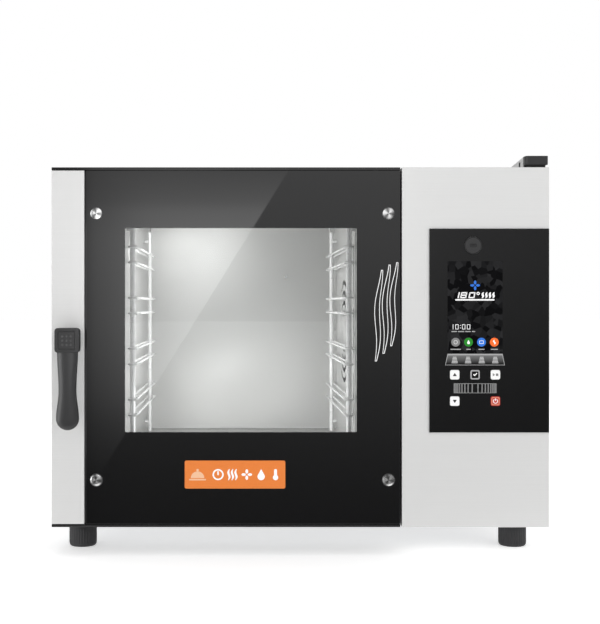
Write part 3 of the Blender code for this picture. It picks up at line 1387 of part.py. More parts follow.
def usb_cover():
    """A round push-in cover with a tongue that plugs into the socket."""
    z = height(USB_HEIGHT)
    back = depth(CONTROL_GLASS_BACK)
    place = (USB_X, 0.0, z)
    span = (back - USB_COVER_THICKNESS, back)
    mesh = cylinder_mesh("usb_cover", "y", place, span, USB_COVER_RADIUS)
    part = add_part("usb_cover", mesh, BLACK_PLASTIC, (USB_X, back, z))
    tongue_x = around(USB_X, USB_PORT[0] - 2 * TOUCH)
    tongue_z = around(z, USB_PORT[1] - 2 * TOUCH)
    join(part, box_mesh("tongue", tongue_x, (back - TOUCH, depth(USB_PORT_DEPTH)), tongue_z))


def power_board():
    """The power electronics on stand-offs inside the right side panel."""
    back_x = RIGHT - SHEET - TOUCH - POWER_BOARD_STANDOFF
    y = depths(POWER_BOARD_FRONT, POWER_BOARD_FRONT + POWER_BOARD_LENGTH)
    z = heights(POWER_BOARD_BOTTOM, POWER_BOARD_BOTTOM + POWER_BOARD_HEIGHT)
    board = box_mesh("power_board", (back_x - BOARD, back_x), y, z)
    part = add_part("power_board", board, BOARD_GREEN)
    step_y = POWER_BOARD_LENGTH / (len(COMPONENT_REACHES) + 1)
    step_z = POWER_BOARD_HEIGHT / COMPONENT_ROWS
    for column, reach in enumerate(COMPONENT_REACHES):
        for row in range(COMPONENT_ROWS):
            middle_y = y[0] + step_y * (column + 1)
            middle_z = z[0] + step_z * (row + 0.5)
            block_x = (back_x - BOARD - reach, back_x - BOARD / 2)
            block_y = around(middle_y, COMPONENT_LENGTH)
            block_z = around(middle_z, COMPONENT_HEIGHT)
            join(part, box_mesh("component", block_x, block_y, block_z))
    for end_y in grown(y, -4 * BOARD):
        for end_z in grown(z, -4 * BOARD):
            place = (0.0, end_y, end_z)
            span = (back_x - BOARD / 2, RIGHT - SHEET - TOUCH)
            join(part, cylinder_mesh("standoff", "x", place, span, 2 * BOARD, SMALL_ROUND))


def cooling_place():
    return (COOLING_FAN_X, 0.0, height(COOLING_FAN_HEIGHT))


def cooling_fan_frame():
    place = cooling_place()
    back = depth(REAR_INNER)
    front = back - COOLING_FAN_DEPTH
    size = around(place[0], COOLING_FAN_SIZE)
    mesh = box_mesh("cooling_fan_frame", size, (front, back), around(place[2], COOLING_FAN_SIZE))
    part = add_part("cooling_fan_frame", mesh, BLACK_PLASTIC)
    cut(part, drill_mesh("bore", "y", place, grown((front, back), COOLING_ARM), COOLING_BORE))
    arm_y = (back - COOLING_ARM, back - TOUCH)
    join(part, cylinder_mesh("boss", "y", place, arm_y, COOLING_HUB, THREAD_ROUND))
    long = COOLING_BORE + COOLING_ARM / 2
    for turn in (45, 135):
        arm = box_mesh("arm", (-long, long), arm_y, around(0.0, COOLING_ARM))
        arm.transform(Matrix.Rotation(math.radians(turn), 4, "Y"))
        arm.transform(Matrix.Translation((place[0], 0.0, place[2])))
        join(part, arm)


def cooling_rotor():
    place = cooling_place()
    back = depth(REAR_INNER) - COOLING_ARM - 2 * RUN_CLEARANCE
    front = depth(REAR_INNER) - COOLING_FAN_DEPTH + 2 * RUN_CLEARANCE
    hub = cylinder_mesh("cooling_rotor", "y", place, (front, back), COOLING_HUB, THREAD_ROUND)
    part = add_part("cooling_rotor", hub, BLACK_PLASTIC, (place[0], back, place[2]))
    tip = COOLING_BORE - 2 * RUN_CLEARANCE
    middle = (front + back) / 2
    inner, outer, chord = COOLING_BLADE_SHARES
    reach = (COOLING_HUB * inner, tip * outer)
    for number in range(COOLING_BLADES):
        blade = box_mesh("blade", reach, around(0.0, FAN_SHEET), around(0.0, COOLING_HUB * chord))
        blade.transform(Matrix.Rotation(math.radians(COOLING_BLADE_LEAN), 4, "X"))
        blade.transform(Matrix.Rotation(math.tau * number / COOLING_BLADES, 4, "Y"))
        blade.transform(Matrix.Translation((place[0], middle, place[2])))
        join(part, blade)


def cable_gland():
    """The supply inlet: a threaded gland in the rear cover. The cord itself isn't part of the oven."""
    place = (GLAND_X, 0.0, height(GLAND_HEIGHT))
    face = depth(BODY_DEPTH) + TOUCH
    end = depth(BODY_DEPTH + REAR_FITTING_REACH)
    nut = cylinder_mesh("cable_gland", "y", place, (face, end), GLAND_RADIUS, 6)
    part = add_part("cable_gland", nut, BLACK_PLASTIC)
    inside = (depth(REAR_INNER) - GLAND_THREAD_RADIUS, face + SHEET)
    join(part, cylinder_mesh("thread", "y", place, inside, GLAND_THREAD_RADIUS, THREAD_ROUND))
    cut(part, drill_mesh("bore", "y", place, grown((inside[0], end), SHEET), GLAND_BORE, SMALL_ROUND))


def vent_place():
    """(x, y) spans of the compartment vent on top of the column, cap and housing together."""
    x = (RIGHT - VENT_SIDE - VENT_WIDTH, RIGHT - VENT_SIDE)
    y = depths(VENT_SETBACK, VENT_SETBACK + VENT_CAP_LENGTH + TOUCH + VENT_LENGTH)
    return x, y


def vent_housing():
    """A hollow steel duct, open underneath and towards the cap, whose top falls to the back."""
    x, y = vent_place()
    front = y[0] + VENT_CAP_LENGTH + TOUCH
    low = height(BODY_HEIGHT) + TOUCH
    high = height(BODY_HEIGHT + VENT_CAP_LIFT + VENT_CAP_HEIGHT) - TOUCH
    outline = [(front, low), (y[1], low), (y[1], high - VENT_FALL), (front, high)]
    part = add_part("vent_housing", plate_mesh("vent_housing", "side", [outline], x), LIGHT_STEEL)
    hollow = [(front - SHEET, low - SHEET), (y[1] - SHEET, low - SHEET)]
    hollow += [(y[1] - SHEET, high - VENT_FALL - SHEET), (front - SHEET, high - SHEET)]
    cut(part, plate_mesh("vent_hollow", "side", [hollow], grown(x, -SHEET)))
    slot_y = front + VENT_LENGTH / 4
    slot = box_mesh(
        "side_slot", grown(x, SHEET), around(slot_y, 2 * VENT_CAP_LIFT), (low + 2 * SHEET, high - 4 * SHEET)
    )
    cut(part, slot)


def vent_cap():
    """The black hood in front of the duct, held clear of the column's top."""
    x, y = vent_place()
    z = heights(BODY_HEIGHT + VENT_CAP_LIFT, BODY_HEIGHT + VENT_CAP_LIFT + VENT_CAP_HEIGHT)
    hood = box_mesh("vent_cap", x, (y[0], y[0] + VENT_CAP_LENGTH), z)
    part = add_part("vent_cap", hood, BLACK_PLASTIC)
    hollow_y = (y[0] + 2 * SHEET, y[0] + VENT_CAP_LENGTH + SHEET)
    cut(part, box_mesh("hood_hollow", grown(x, -2 * SHEET), hollow_y, (z[0] - SHEET, z[1] - 2 * SHEET)))


def build():
    base_tray()
    side_panels()
    top_cover()
    rear_cover()
    front_frame()
    hinge_rails()
    feet()
    cavity_liner()
    insulation()
    door_gasket()
    rack("rack_left", -1)
    rack("rack_right", 1)
    fan_baffle()
    fan_wheel()
    fan_motor()
    heating_element()
    water_pipe()
    water_valve()
    temperature_probe()
    drain_pipe()
    flue_pipe()
    flue_damper()
    door_frame()
    hinge_bushes()
    glass_bolts()
    outer_glass()
    handle_strip()
    door_inner_panel()
    inner_glass()
    led_bar()
    badge_plate()
    handle_lever()
    latch_spindle()
    latch_keeper()
    column_front()
    control_glass()
    control_keys()
    display_module()
    control_board()
    usb_socket()
    usb_cover()
    power_board()
    cooling_fan_frame()
    cooling_rotor()
    cable_gland()
    vent_housing()
    vent_cap()


build()
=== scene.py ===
import math

import bmesh
import bpy
from mathutils import Matrix, Vector


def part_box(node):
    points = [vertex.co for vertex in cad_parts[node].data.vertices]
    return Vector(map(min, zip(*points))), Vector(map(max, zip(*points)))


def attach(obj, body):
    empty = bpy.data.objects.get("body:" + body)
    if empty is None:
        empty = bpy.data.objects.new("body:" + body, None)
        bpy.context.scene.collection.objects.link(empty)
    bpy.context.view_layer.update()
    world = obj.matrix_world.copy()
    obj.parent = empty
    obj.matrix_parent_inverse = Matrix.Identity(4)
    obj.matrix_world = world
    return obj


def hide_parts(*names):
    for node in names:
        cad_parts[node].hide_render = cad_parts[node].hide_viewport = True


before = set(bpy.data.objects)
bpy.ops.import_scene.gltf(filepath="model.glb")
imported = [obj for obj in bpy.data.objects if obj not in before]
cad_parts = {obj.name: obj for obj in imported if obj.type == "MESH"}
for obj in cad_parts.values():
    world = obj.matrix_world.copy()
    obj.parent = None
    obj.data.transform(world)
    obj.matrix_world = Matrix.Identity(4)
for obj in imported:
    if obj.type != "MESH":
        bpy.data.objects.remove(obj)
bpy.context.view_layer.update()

MM = 0.001
FACINGS = {
    "front": Matrix(((1, 0, 0), (0, 0, -1), (0, 1, 0))).to_4x4(),
    "side": Matrix(((0, 0, 1), (1, 0, 0), (0, 1, 0))).to_4x4(),
    "top": Matrix.Identity(4),
}
AXES = {
    "z": Matrix.Identity(4),
    "-y": Matrix.Rotation(math.radians(90), 4, "X"),
    "y": Matrix.Rotation(math.radians(-90), 4, "X"),
    "x": Matrix.Rotation(math.radians(90), 4, "Y"),
    "-x": Matrix.Rotation(math.radians(-90), 4, "Y"),
}


# ---------------------------------------------------------------- nodes and materials


def link(tree, source, target):
    tree.links.new(source, target)


def add_node(tree, kind, **inputs):
    node = tree.nodes.new(kind)
    for name, value in inputs.items():
        node.inputs[name.replace("_", " ")].default_value = value
    return node


def maths(tree, operation, *values):
    """A maths node over numbers and sockets."""
    node = add_node(tree, "ShaderNodeMath")
    node.operation = operation
    for socket, value in zip(node.inputs, values):
        if isinstance(value, float):
            socket.default_value = value
        else:
            link(tree, value, socket)
    return node


def own_place(tree):
    """The X, Y and Z sockets of a place in the piece's own metres."""
    place = tree.nodes.new("ShaderNodeTexCoord")
    split = tree.nodes.new("ShaderNodeSeparateXYZ")
    link(tree, place.outputs["Object"], split.inputs[0])
    return split.outputs


def noise_field(tree, stretch, scale, detail=4.0, rough=0.6):
    """A noise value laid out in the part's own metres, stretched along chosen axes."""
    place = tree.nodes.new("ShaderNodeTexCoord")
    mapping = tree.nodes.new("ShaderNodeMapping")
    mapping.inputs["Scale"].default_value = stretch
    link(tree, place.outputs["Object"], mapping.inputs["Vector"])
    noise = add_node(tree, "ShaderNodeTexNoise", Scale=scale, Detail=detail, Roughness=rough)
    link(tree, mapping.outputs[0], noise.inputs["Vector"])
    return noise.outputs["Fac"]


def ranged(tree, source, low, high, start=0.3, end=0.7):
    node = add_node(tree, "ShaderNodeMapRange")
    node.inputs["From Min"].default_value = start
    node.inputs["From Max"].default_value = end
    node.inputs["To Min"].default_value = low
    node.inputs["To Max"].default_value = high
    link(tree, source, node.inputs["Value"])
    return node.outputs["Result"]


def mixed(tree, factor, first, second, blend="MIX"):
    node = tree.nodes.new("ShaderNodeMix")
    node.data_type = "RGBA"
    node.blend_type = blend
    slots = [s for s in node.inputs if s.enabled or s.type == "RGBA"]
    colours = [s for s in slots if s.type == "RGBA"]
    if isinstance(factor, float):
        node.inputs[0].default_value = factor
    else:
        link(tree, factor, node.inputs[0])
    for socket, value in zip(colours, (first, second)):
        if isinstance(value, bpy.types.NodeSocket):
            link(tree, value, socket)
        else:
            socket.default_value = (*value, 1.0)
    return next(s for s in node.outputs if s.type == "RGBA")


def surface(
    name, colour, rough, metal=0.0, stretch=(1, 1, 1), grain=400.0, tint=0.04, rough_spread=0.08,
    bump=0.15, depth=0.0001, blotch=5.0, wear=None, glow=0.0, **sockets,
):
    """A finish with grain and slow mottling in its colour, roughness and relief, and worn edges."""
    made = bpy.data.materials.new(name)
    made.use_nodes = True
    tree = made.node_tree
    shader = tree.nodes["Principled BSDF"]
    shader.inputs["Metallic"].default_value = metal
    for socket, value in sockets.items():
        shader.inputs[socket.replace("_", " ")].default_value = value
    fine = noise_field(tree, stretch, grain)
    slow = noise_field(tree, (1, 1, 1), blotch, 3.0, 0.5)
    dark = [c * (1 - tint) for c in colour]
    light = [min(1.0, c * (1 + tint)) for c in colour]
    base = mixed(tree, ranged(tree, fine, 0.0, 1.0), dark, light)
    base = mixed(tree, ranged(tree, slow, 0.0, 0.5), base, [c * (1 - 1.5 * tint) for c in colour])
    if wear:
        geometry = tree.nodes.new("ShaderNodeNewGeometry")
        edge = ranged(tree, geometry.outputs["Pointiness"], 0.0, wear[1], 0.53, 0.62)
        base = mixed(tree, edge, base, wear[0])
    link(tree, base, shader.inputs["Base Color"])
    if glow:
        link(tree, base, shader.inputs["Emission Color"])
        shader.inputs["Emission Strength"].default_value = glow
    half = rough_spread / 2
    total = maths(
        tree, "ADD", ranged(tree, fine, rough - half, rough + half), ranged(tree, slow, -half, half),
    )
    total.use_clamp = True
    link(tree, total.outputs[0], shader.inputs["Roughness"])
    relief = add_node(tree, "ShaderNodeBump", Strength=bump, Distance=depth)
    link(tree, fine, relief.inputs["Height"])
    link(tree, relief.outputs[0], shader.inputs["Normal"])
    return made


def screen_material():
    """A dark picture of dim facets, lit from behind."""
    made = surface(
        "screen_glow", (0.002, 0.002, 0.0025), 0.2, rough_spread=0.03, bump=0.02, Specular_IOR_Level=0.08,
    )
    tree = made.node_tree
    shader = tree.nodes["Principled BSDF"]
    place = tree.nodes.new("ShaderNodeTexCoord")
    cells = add_node(tree, "ShaderNodeTexVoronoi", Scale=95.0)
    link(tree, place.outputs["Object"], cells.inputs["Vector"])
    split = tree.nodes.new("ShaderNodeSeparateColor")
    link(tree, cells.outputs["Color"], split.inputs[0])
    level = ranged(tree, split.outputs[0], 0.0, 1.0, 0.35, 1.0)
    glow = mixed(tree, level, (0.0006, 0.0006, 0.0006), (0.024, 0.024, 0.025))
    link(tree, glow, shader.inputs["Emission Color"])
    shader.inputs["Emission Strength"].default_value = 1.0
    return made


def fade_material():
    """A silvered print that fades to black from its upper edge down."""
    made = surface("silver_fade_print", (0.3, 0.3, 0.3), 0.4, grain=1400.0, tint=0.03, Specular_IOR_Level=0.2)
    tree = made.node_tree
    level = ranged(tree, own_place(tree)["Z"], 0.0, 1.0, *FADE_HEIGHTS)
    colour = mixed(tree, level, (0.003, 0.003, 0.003), (0.20, 0.20, 0.20))
    link(tree, colour, tree.nodes["Principled BSDF"].inputs["Base Color"])
    return made


def board_material():
    """Green solder resist over a net of fine tracks."""
    made = surface("circuit_resist", (0.015, 0.16, 0.06), 0.35, tint=0.1, grain=900.0)
    tree = made.node_tree
    shader = tree.nodes["Principled BSDF"]
    place = tree.nodes.new("ShaderNodeTexCoord")
    tracks = add_node(tree, "ShaderNodeTexBrick", Scale=110.0)
    tracks.inputs["Mortar Size"].default_value = 0.03
    tracks.inputs["Color1"].default_value = (0.012, 0.13, 0.05, 1)
    tracks.inputs["Color2"].default_value = (0.02, 0.18, 0.07, 1)
    tracks.inputs["Mortar"].default_value = (0.10, 0.30, 0.12, 1)
    link(tree, place.outputs["Object"], tracks.inputs["Vector"])
    link(tree, tracks.outputs["Color"], shader.inputs["Base Color"])
    return made


def radial_tangent(material):
    """Turns a finish's grain round the piece's own Y axis, as a lathe leaves it."""
    tree = material.node_tree
    tangent = tree.nodes.new("ShaderNodeTangent")
    tangent.direction_type = "RADIAL"
    tangent.axis = "Y"
    link(tree, tangent.outputs[0], tree.nodes["Principled BSDF"].inputs["Tangent"])


def painted_sheen_sectors(material, dark, light):
    """Painted highlight: bright and dim sectors about the piece's own Y axis, painted into the base colour in
    place of the sheen a turned face catches.
    """
    tree = material.node_tree
    axes = own_place(tree)
    angle = maths(tree, "ARCTAN2", axes["X"], axes["Z"]).outputs[0]
    wave = maths(tree, "SINE", maths(tree, "MULTIPLY_ADD", angle, 3.0, -0.6).outputs[0])
    colour = mixed(tree, ranged(tree, wave.outputs[0], 0.0, 1.0, -1.0, 1.0), dark, light)
    link(tree, colour, tree.nodes["Principled BSDF"].inputs["Base Color"])


def ink(name, colour, rough=0.4, tint=0.04, **more):
    """A printed or moulded colour with a fine grain."""
    return surface(name, colour, rough, grain=1400.0, tint=tint, **more)


FADE_HEIGHTS = (0.3275, 0.3450)
LEVEL_GRAIN = (6, 6, 900)
DEPTH_GRAIN = (900, 6, 6)
steel_tint = dict(metal=0.10, tint=0.02, rough_spread=0.10, bump=0.10, depth=0.00004)
MATERIALS = {
    "light_steel": surface(
        "brushed_panel_steel", (0.70, 0.70, 0.695), 0.42, stretch=LEVEL_GRAIN, grain=1.0, **steel_tint
    ),
    # The same brushed steel as the front, made darker for the side panels: painted shade, standing in for
    # less light falling on the sides.
    "painted_shade_steel": surface(
        "brushed_steel_painted_shade", (0.52, 0.52, 0.515), 0.45, stretch=LEVEL_GRAIN, grain=1.0, **steel_tint
    ),
    "top_steel": surface(
        "brushed_top_steel", (0.66, 0.66, 0.655), 0.42, stretch=DEPTH_GRAIN, grain=1.0, **steel_tint
    ),
    "cavity_steel": surface(
        "satin_cavity_steel", (0.66, 0.66, 0.65), 0.36, stretch=LEVEL_GRAIN, grain=1.0, metal=0.6,
        tint=0.025, bump=0.1,
        depth=0.00003,
    ),
    "zinc_steel": surface(
        "galvanised_steel", (0.46, 0.47, 0.48), 0.5, metal=0.8, grain=130.0, tint=0.12, rough_spread=0.2,
        bump=0.08
    ),
    "polished_steel": surface(
        "polished_steel", (0.80, 0.80, 0.80), 0.14, metal=1.0, grain=700.0, tint=0.03, rough_spread=0.08,
        bump=0.04
    ),
    "rack_wire": surface(
        "electropolished_wire", (0.95, 0.95, 0.95), 0.28, metal=0.3, grain=600.0, tint=0.02,
        rough_spread=0.06, bump=0.05
    ),
    "black_glass": surface(
        "black_enamelled_glass", (0.004, 0.004, 0.0043), 0.04, grain=60.0, tint=0.05, rough_spread=0.03,
        bump=0.0,
        IOR=1.5,
    ),
    "control_glass": surface(
        "smoked_control_glass", (0.005, 0.005, 0.0053), 0.14, grain=60.0, tint=0.05, rough_spread=0.05,
        bump=0.0, IOR=1.5,
    ),
    "rail_gloss": surface(
        "gloss_black_enamel", (0.005, 0.005, 0.0053), 0.06, grain=300.0, tint=0.05, rough_spread=0.04,
        bump=0.02,
    ),
    "window_glass": surface(
        "clear_window_glass", (0.985, 0.992, 0.99), 0.01, grain=20.0, tint=0.003, rough_spread=0.01, bump=0.0,
        Transmission_Weight=1.0, IOR=1.48,
    ),
    "clear_glass": surface(
        "clear_toughened_glass", (0.985, 0.992, 0.99), 0.01, grain=20.0, tint=0.003, rough_spread=0.01,
        bump=0.0,
        Transmission_Weight=1.0, IOR=1.2,
    ),
    "black_plastic": surface(
        "textured_black_plastic", (0.024, 0.024, 0.025), 0.40, grain=1500.0, tint=0.08, rough_spread=0.12,
        bump=0.25,
        wear=((0.12, 0.12, 0.12), 0.5),
    ),
    "black_steel": surface(
        "black_powder_coat", (0.016, 0.016, 0.017), 0.5, grain=1800.0, tint=0.08, rough_spread=0.15, bump=0.3,
        wear=((0.14, 0.14, 0.14), 0.4),
    ),
    "black_rubber": surface(
        "ribbed_rubber", (0.024, 0.024, 0.026), 0.62, grain=1200.0, tint=0.12, rough_spread=0.15, bump=0.3,
        wear=((0.14, 0.14, 0.14), 0.5),
    ),
    "grey_silicone": surface(
        "silicone_seal", (0.10, 0.10, 0.10), 0.55, grain=900.0, tint=0.05, bump=0.12, Sheen_Weight=0.2
    ),
    "mineral_wool": surface(
        "mineral_wool_fibres", (0.60, 0.52, 0.33), 0.95, stretch=(3, 1, 1), grain=260.0, tint=0.25,
        bump=1.0, depth=0.002
    ),
    "orange_plate": surface(
        "orange_enamel", (0.86, 0.23, 0.035), 0.30, grain=900.0, tint=0.03, bump=0.05, Coat_Weight=0.3
    ),
    # The glow on the white plastic is painted light: the keys and hinge sleeves have no lamp in them.
    "white_plastic": surface(
        "moulded_white", (0.84, 0.84, 0.84), 0.35, grain=1400.0, tint=0.02, bump=0.1, glow=0.12,
    ),
    "grey_plastic": surface("moulded_grey", (0.42, 0.42, 0.43), 0.35, grain=1400.0, tint=0.03, bump=0.1),
    # The glow on the red plastic is painted light: the power key has no lamp in it.
    "red_plastic": surface(
        "moulded_red", (0.55, 0.03, 0.025), 0.32, grain=1400.0, tint=0.03, bump=0.1, glow=0.05,
    ),
    "circuit_board": board_material(),
    "brass": surface(
        "cast_brass", (0.66, 0.46, 0.17), 0.3, metal=1.0, grain=500.0, tint=0.1, rough_spread=0.2, bump=0.2
    ),
    "motor_paint": surface(
        "motor_enamel", (0.07, 0.085, 0.10), 0.45, grain=500.0, tint=0.1, rough_spread=0.15, bump=0.25,
        wear=((0.35, 0.35, 0.35), 0.4),
    ),
    "screen": screen_material(),
    "strip_fade": fade_material(),
    "icon_black": ink("icon_black", (0.006, 0.006, 0.006), 0.5, tint=0.05, Specular_IOR_Level=0.1),
    # On the display the glow of these four inks is the screen's backlight; on the door, the badge, the keys
    # and the key field the same glow is painted light.
    "icon_white": ink("icon_white", (0.82, 0.82, 0.82), tint=0.03, glow=0.25),
    "icon_grey": ink("icon_grey", (0.19, 0.19, 0.19), glow=0.2),
    "icon_silver": ink("icon_silver", (0.36, 0.36, 0.36), 0.35, glow=0.1),
    "icon_bright": ink("icon_bright", (0.58, 0.58, 0.58), tint=0.03, glow=0.1),
    "icon_green": ink("icon_green", (0.004, 0.22, 0.006), glow=0.25),
    "icon_blue": ink("icon_blue", (0.01, 0.14, 0.60), glow=0.25),
    "icon_orange": ink("icon_orange", (0.90, 0.13, 0.006), glow=0.25),
    "icon_peach": ink("icon_peach", (0.93, 0.55, 0.33), tint=0.03),
    "led_diffuser": surface("led_diffuser", (0.92, 0.92, 0.88), 0.5, grain=900.0, tint=0.02, glow=1.6),
    # A near-black fill set where there is only shade, under the vent hood and in the duct's slot: painted
    # shadow.
    "painted_shadow": surface("painted_shadow_black", (0.006, 0.006, 0.006), 0.8, grain=900.0, tint=0.1),
    # The bolt faces' bright and dim sectors, added below, are a painted highlight, not the steel's own
    # colour.
    "bolt_face": surface(
        "bolt_face_painted_sheen", (0.52, 0.52, 0.52), 0.28, metal=1.0, grain=500.0, tint=0.03, rough_spread=0.05,
        bump=0.03, Anisotropic=0.75,
    ),
    "control_plug": surface(
        "soft_black_plug", (0.030, 0.030, 0.031), 0.45, grain=1500.0, tint=0.05, bump=0.15
    ),
}
radial_tangent(MATERIALS["bolt_face"])
# Painted highlight: sheen sectors painted into the bolt faces' colour.
painted_sheen_sectors(MATERIALS["bolt_face"], (0.16, 0.16, 0.16), (0.86, 0.86, 0.86))


# ---------------------------------------------------------------- meshes


SQUARE_ON = 0.99999
FLAT_AREA = 1e-5


def shaded(mesh, degrees=32.0):
    """Smooth faces, sharp edges where the surface turns by more than the angle, big square-on faces flat."""
    work = bmesh.new()
    work.from_mesh(mesh)
    work.normal_update()
    limit = math.radians(degrees)
    for face in work.faces:
        square_on = max(abs(part) for part in face.normal) > SQUARE_ON
        face.smooth = not (square_on and face.calc_area() > FLAT_AREA)
    for edge in work.edges:
        edge.smooth = len(edge.link_faces) == 2 and edge.calc_face_angle(0.0) < limit
    work.to_mesh(mesh)
    work.free()
    return mesh


def mesh_from(name, work, degrees=32.0):
    bmesh.ops.recalc_face_normals(work, faces=work.faces)
    mesh = bpy.data.meshes.new(name)
    work.to_mesh(mesh)
    work.free()
    return shaded(mesh, degrees)


def arc(centre, radius, start, end, steps):
    return [
        (
            centre[0] + radius * math.cos(math.radians(start + (end - start) * step / steps)),
            centre[1] + radius * math.sin(math.radians(start + (end - start) * step / steps)),
        )
        for step in range(steps + 1)
    ]


def rounded(u, v, radius=0.0, steps=8):
    if not radius:
        return [(u[0], v[0]), (u[1], v[0]), (u[1], v[1]), (u[0], v[1])]
    found = []
    for (cu, cv), start in (
        ((u[1] - radius, v[0] + radius), -90),
        ((u[1] - radius, v[1] - radius), 0),
        ((u[0] + radius, v[1] - radius), 90),
        ((u[0] + radius, v[0] + radius), 180),
    ):
        found += arc((cu, cv), radius, start, start + 90, steps)
    return found


def circle(centre, radius, steps=48):
    return arc(centre, radius, 0, 360 - 360 / steps, steps - 1)


def around(middle, size):
    return (middle - size / 2, middle + size / 2)


def from_curve(name, curve, matrix, degrees=32.0):
    """The mesh that a curve draws, moved by the matrix."""
    holder = bpy.data.objects.new(name, curve)
    bpy.context.scene.collection.objects.link(holder)
    bpy.context.view_layer.update()
    graph = bpy.context.evaluated_depsgraph_get()
    mesh = bpy.data.meshes.new_from_object(holder.evaluated_get(graph))
    bpy.data.objects.remove(holder)
    bpy.data.curves.remove(curve)
    work = bmesh.new()
    work.from_mesh(mesh)
    bpy.data.meshes.remove(mesh)
    bmesh.ops.remove_doubles(work, verts=work.verts, dist=1e-6)
    bmesh.ops.transform(work, matrix=matrix, verts=work.verts)
    return mesh_from(name, work, degrees)


def plate(name, facing, loops, span, edge=0.0, steps=2, degrees=32.0):
    """A flat plate with the outlines' shape and holes, between two places, with its edges rounded."""
    curve = bpy.data.curves.new(name, "CURVE")
    curve.dimensions = "2D"
    curve.fill_mode = "BOTH"
    for loop in loops:
        spline = curve.splines.new("POLY")
        spline.points.add(len(loop) - 1)
        for point, (u, v) in zip(spline.points, loop):
            point.co = (u, v, 0.0, 1.0)
        spline.use_cyclic_u = True
    thick = abs(span[1] - span[0])
    curve.extrude = thick / 2 - edge
    curve.bevel_depth = edge
    curve.bevel_resolution = steps
    curve.offset = -edge
    middle = (span[0] + span[1]) / 2
    shift = {"front": (0, middle, 0), "side": (middle, 0, 0), "top": (0, 0, middle)}[facing]
    return from_curve(name, curve, Matrix.Translation(shift) @ FACINGS[facing], degrees)


def tube(name, points, diameter, closed=False, resolution=6):
    curve = bpy.data.curves.new(name, "CURVE")
    curve.dimensions = "3D"
    curve.bevel_depth = diameter / 2
    curve.bevel_resolution = resolution
    curve.use_fill_caps = not closed
    spline = curve.splines.new("POLY")
    spline.points.add(len(points) - 1)
    for point, place in zip(spline.points, points):
        point.co = (*place, 1.0)
    spline.use_cyclic_u = closed
    return from_curve(name, curve, Matrix.Identity(4), 60.0)


def lathe(name, axis, place, profile, sides=64, degrees=32.0, ribs=0, rib_depth=0.0):
    """A turned solid from (radius, along) pairs about an axis; a third value of 1 gives a ring ribs."""
    work = bmesh.new()
    rings = []
    for radius, along, *ribbed in profile:
        if radius < 1e-7:
            rings.append([work.verts.new((0, 0, along))])
            continue
        ring = []
        for n in range(sides):
            angle = math.tau * n / sides
            reach = radius - (rib_depth * (0.5 - 0.5 * math.cos(ribs * angle)) ** 2 if any(ribbed) else 0.0)
            ring.append(work.verts.new((reach * math.cos(angle), reach * math.sin(angle), along)))
        rings.append(ring)
    for low, high in zip(rings, rings[1:]):
        for n in range(sides):
            m = (n + 1) % sides
            if len(low) == 1:
                work.faces.new((low[0], high[n], high[m]))
            elif len(high) == 1:
                work.faces.new((low[m], low[n], high[0]))
            else:
                work.faces.new((low[n], low[m], high[m], high[n]))
    bmesh.ops.transform(work, matrix=Matrix.Translation(place) @ AXES[axis], verts=work.verts)
    return mesh_from(name, work, degrees)


def block(name, x, y, z, edge=0.0005, steps=2):
    work = bmesh.new()
    bmesh.ops.create_cube(work, size=1.0)
    for vert in work.verts:
        vert.co = [span[0] if c < 0 else span[1] for c, span in zip(vert.co, (x, y, z))]
    if edge:
        bmesh.ops.bevel(work, geom=work.edges[:], offset=edge, segments=steps, profile=0.5, affect="EDGES")
    return mesh_from(name, work)


def refined(node, edge=0.0004, steps=2, longer=0.0, degrees=32.0, where=None):
    """The CAD node's own shape with its flat facets merged and its edges rolled over."""
    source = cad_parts[node].data
    work = bmesh.new()
    seen = {}
    verts = []
    for vert in source.vertices:
        key = tuple(round(c * 1e6) for c in vert.co)
        if key not in seen:
            seen[key] = work.verts.new(vert.co)
        verts.append(seen[key])
    for polygon in source.polygons:
        corners = list(dict.fromkeys(verts[i] for i in polygon.vertices))
        if len(corners) > 2 and not work.faces.get(corners):
            work.faces.new(corners)
    bmesh.ops.recalc_face_normals(work, faces=work.faces)
    bmesh.ops.dissolve_limit(work, angle_limit=math.radians(0.5), verts=work.verts, edges=work.edges)
    turn = math.radians(degrees)
    chosen = [
        e for e in work.edges
        if len(e.link_faces) == 2 and e.calc_face_angle(0.0) > turn and e.calc_length() >= longer
        and (where is None or where(e))
    ]
    if edge and chosen:
        bmesh.ops.bevel(
            work, geom=chosen, offset=edge, segments=steps, profile=0.5, affect="EDGES", clamp_overlap=True,
        )
    return mesh_from(node, work, degrees)


def merged(name, parts):
    """One mesh from (mesh, material key) pairs, with a material slot for each material."""
    keys = list(dict.fromkeys(key for _, key in parts))
    work = bmesh.new()
    for mesh, key in parts:
        start = len(work.faces)
        work.from_mesh(mesh)
        work.faces.ensure_lookup_table()
        for face in work.faces[start:]:
            face.material_index = keys.index(key)
        bpy.data.meshes.remove(mesh)
    joined = bpy.data.meshes.new(name)
    work.to_mesh(joined)
    work.free()
    for key in keys:
        joined.materials.append(MATERIALS[key])
    return joined


def piece(name, parts, body="cabinet", nodes=(), origin=None):
    """A finished piece that rides on its body, from one or several (mesh, material key) pairs."""
    mesh = merged(name, parts)
    made = bpy.data.objects.new(name, mesh)
    if origin is not None:
        mesh.transform(Matrix.Translation(-Vector(origin)))
        made.location = origin
    bpy.context.scene.collection.objects.link(made)
    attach(made, body)
    if nodes:
        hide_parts(*nodes)
    return made


def rolled(name, node, body, key, slot, *args, **options):
    """A piece with the CAD node's own shape, its edges rolled, in a finish."""
    piece(name, [(refined(node, *args, **options), key)], body, [node])


def spans(node):
    """(x, y, z) spans of a CAD node."""
    low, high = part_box(node)
    return tuple((low[i], high[i]) for i in range(3))


def middle(span):
    return (span[0] + span[1]) / 2


def grown(span, amount):
    return (span[0] - amount, span[1] + amount)


# ---------------------------------------------------------------- sizes that the pieces share

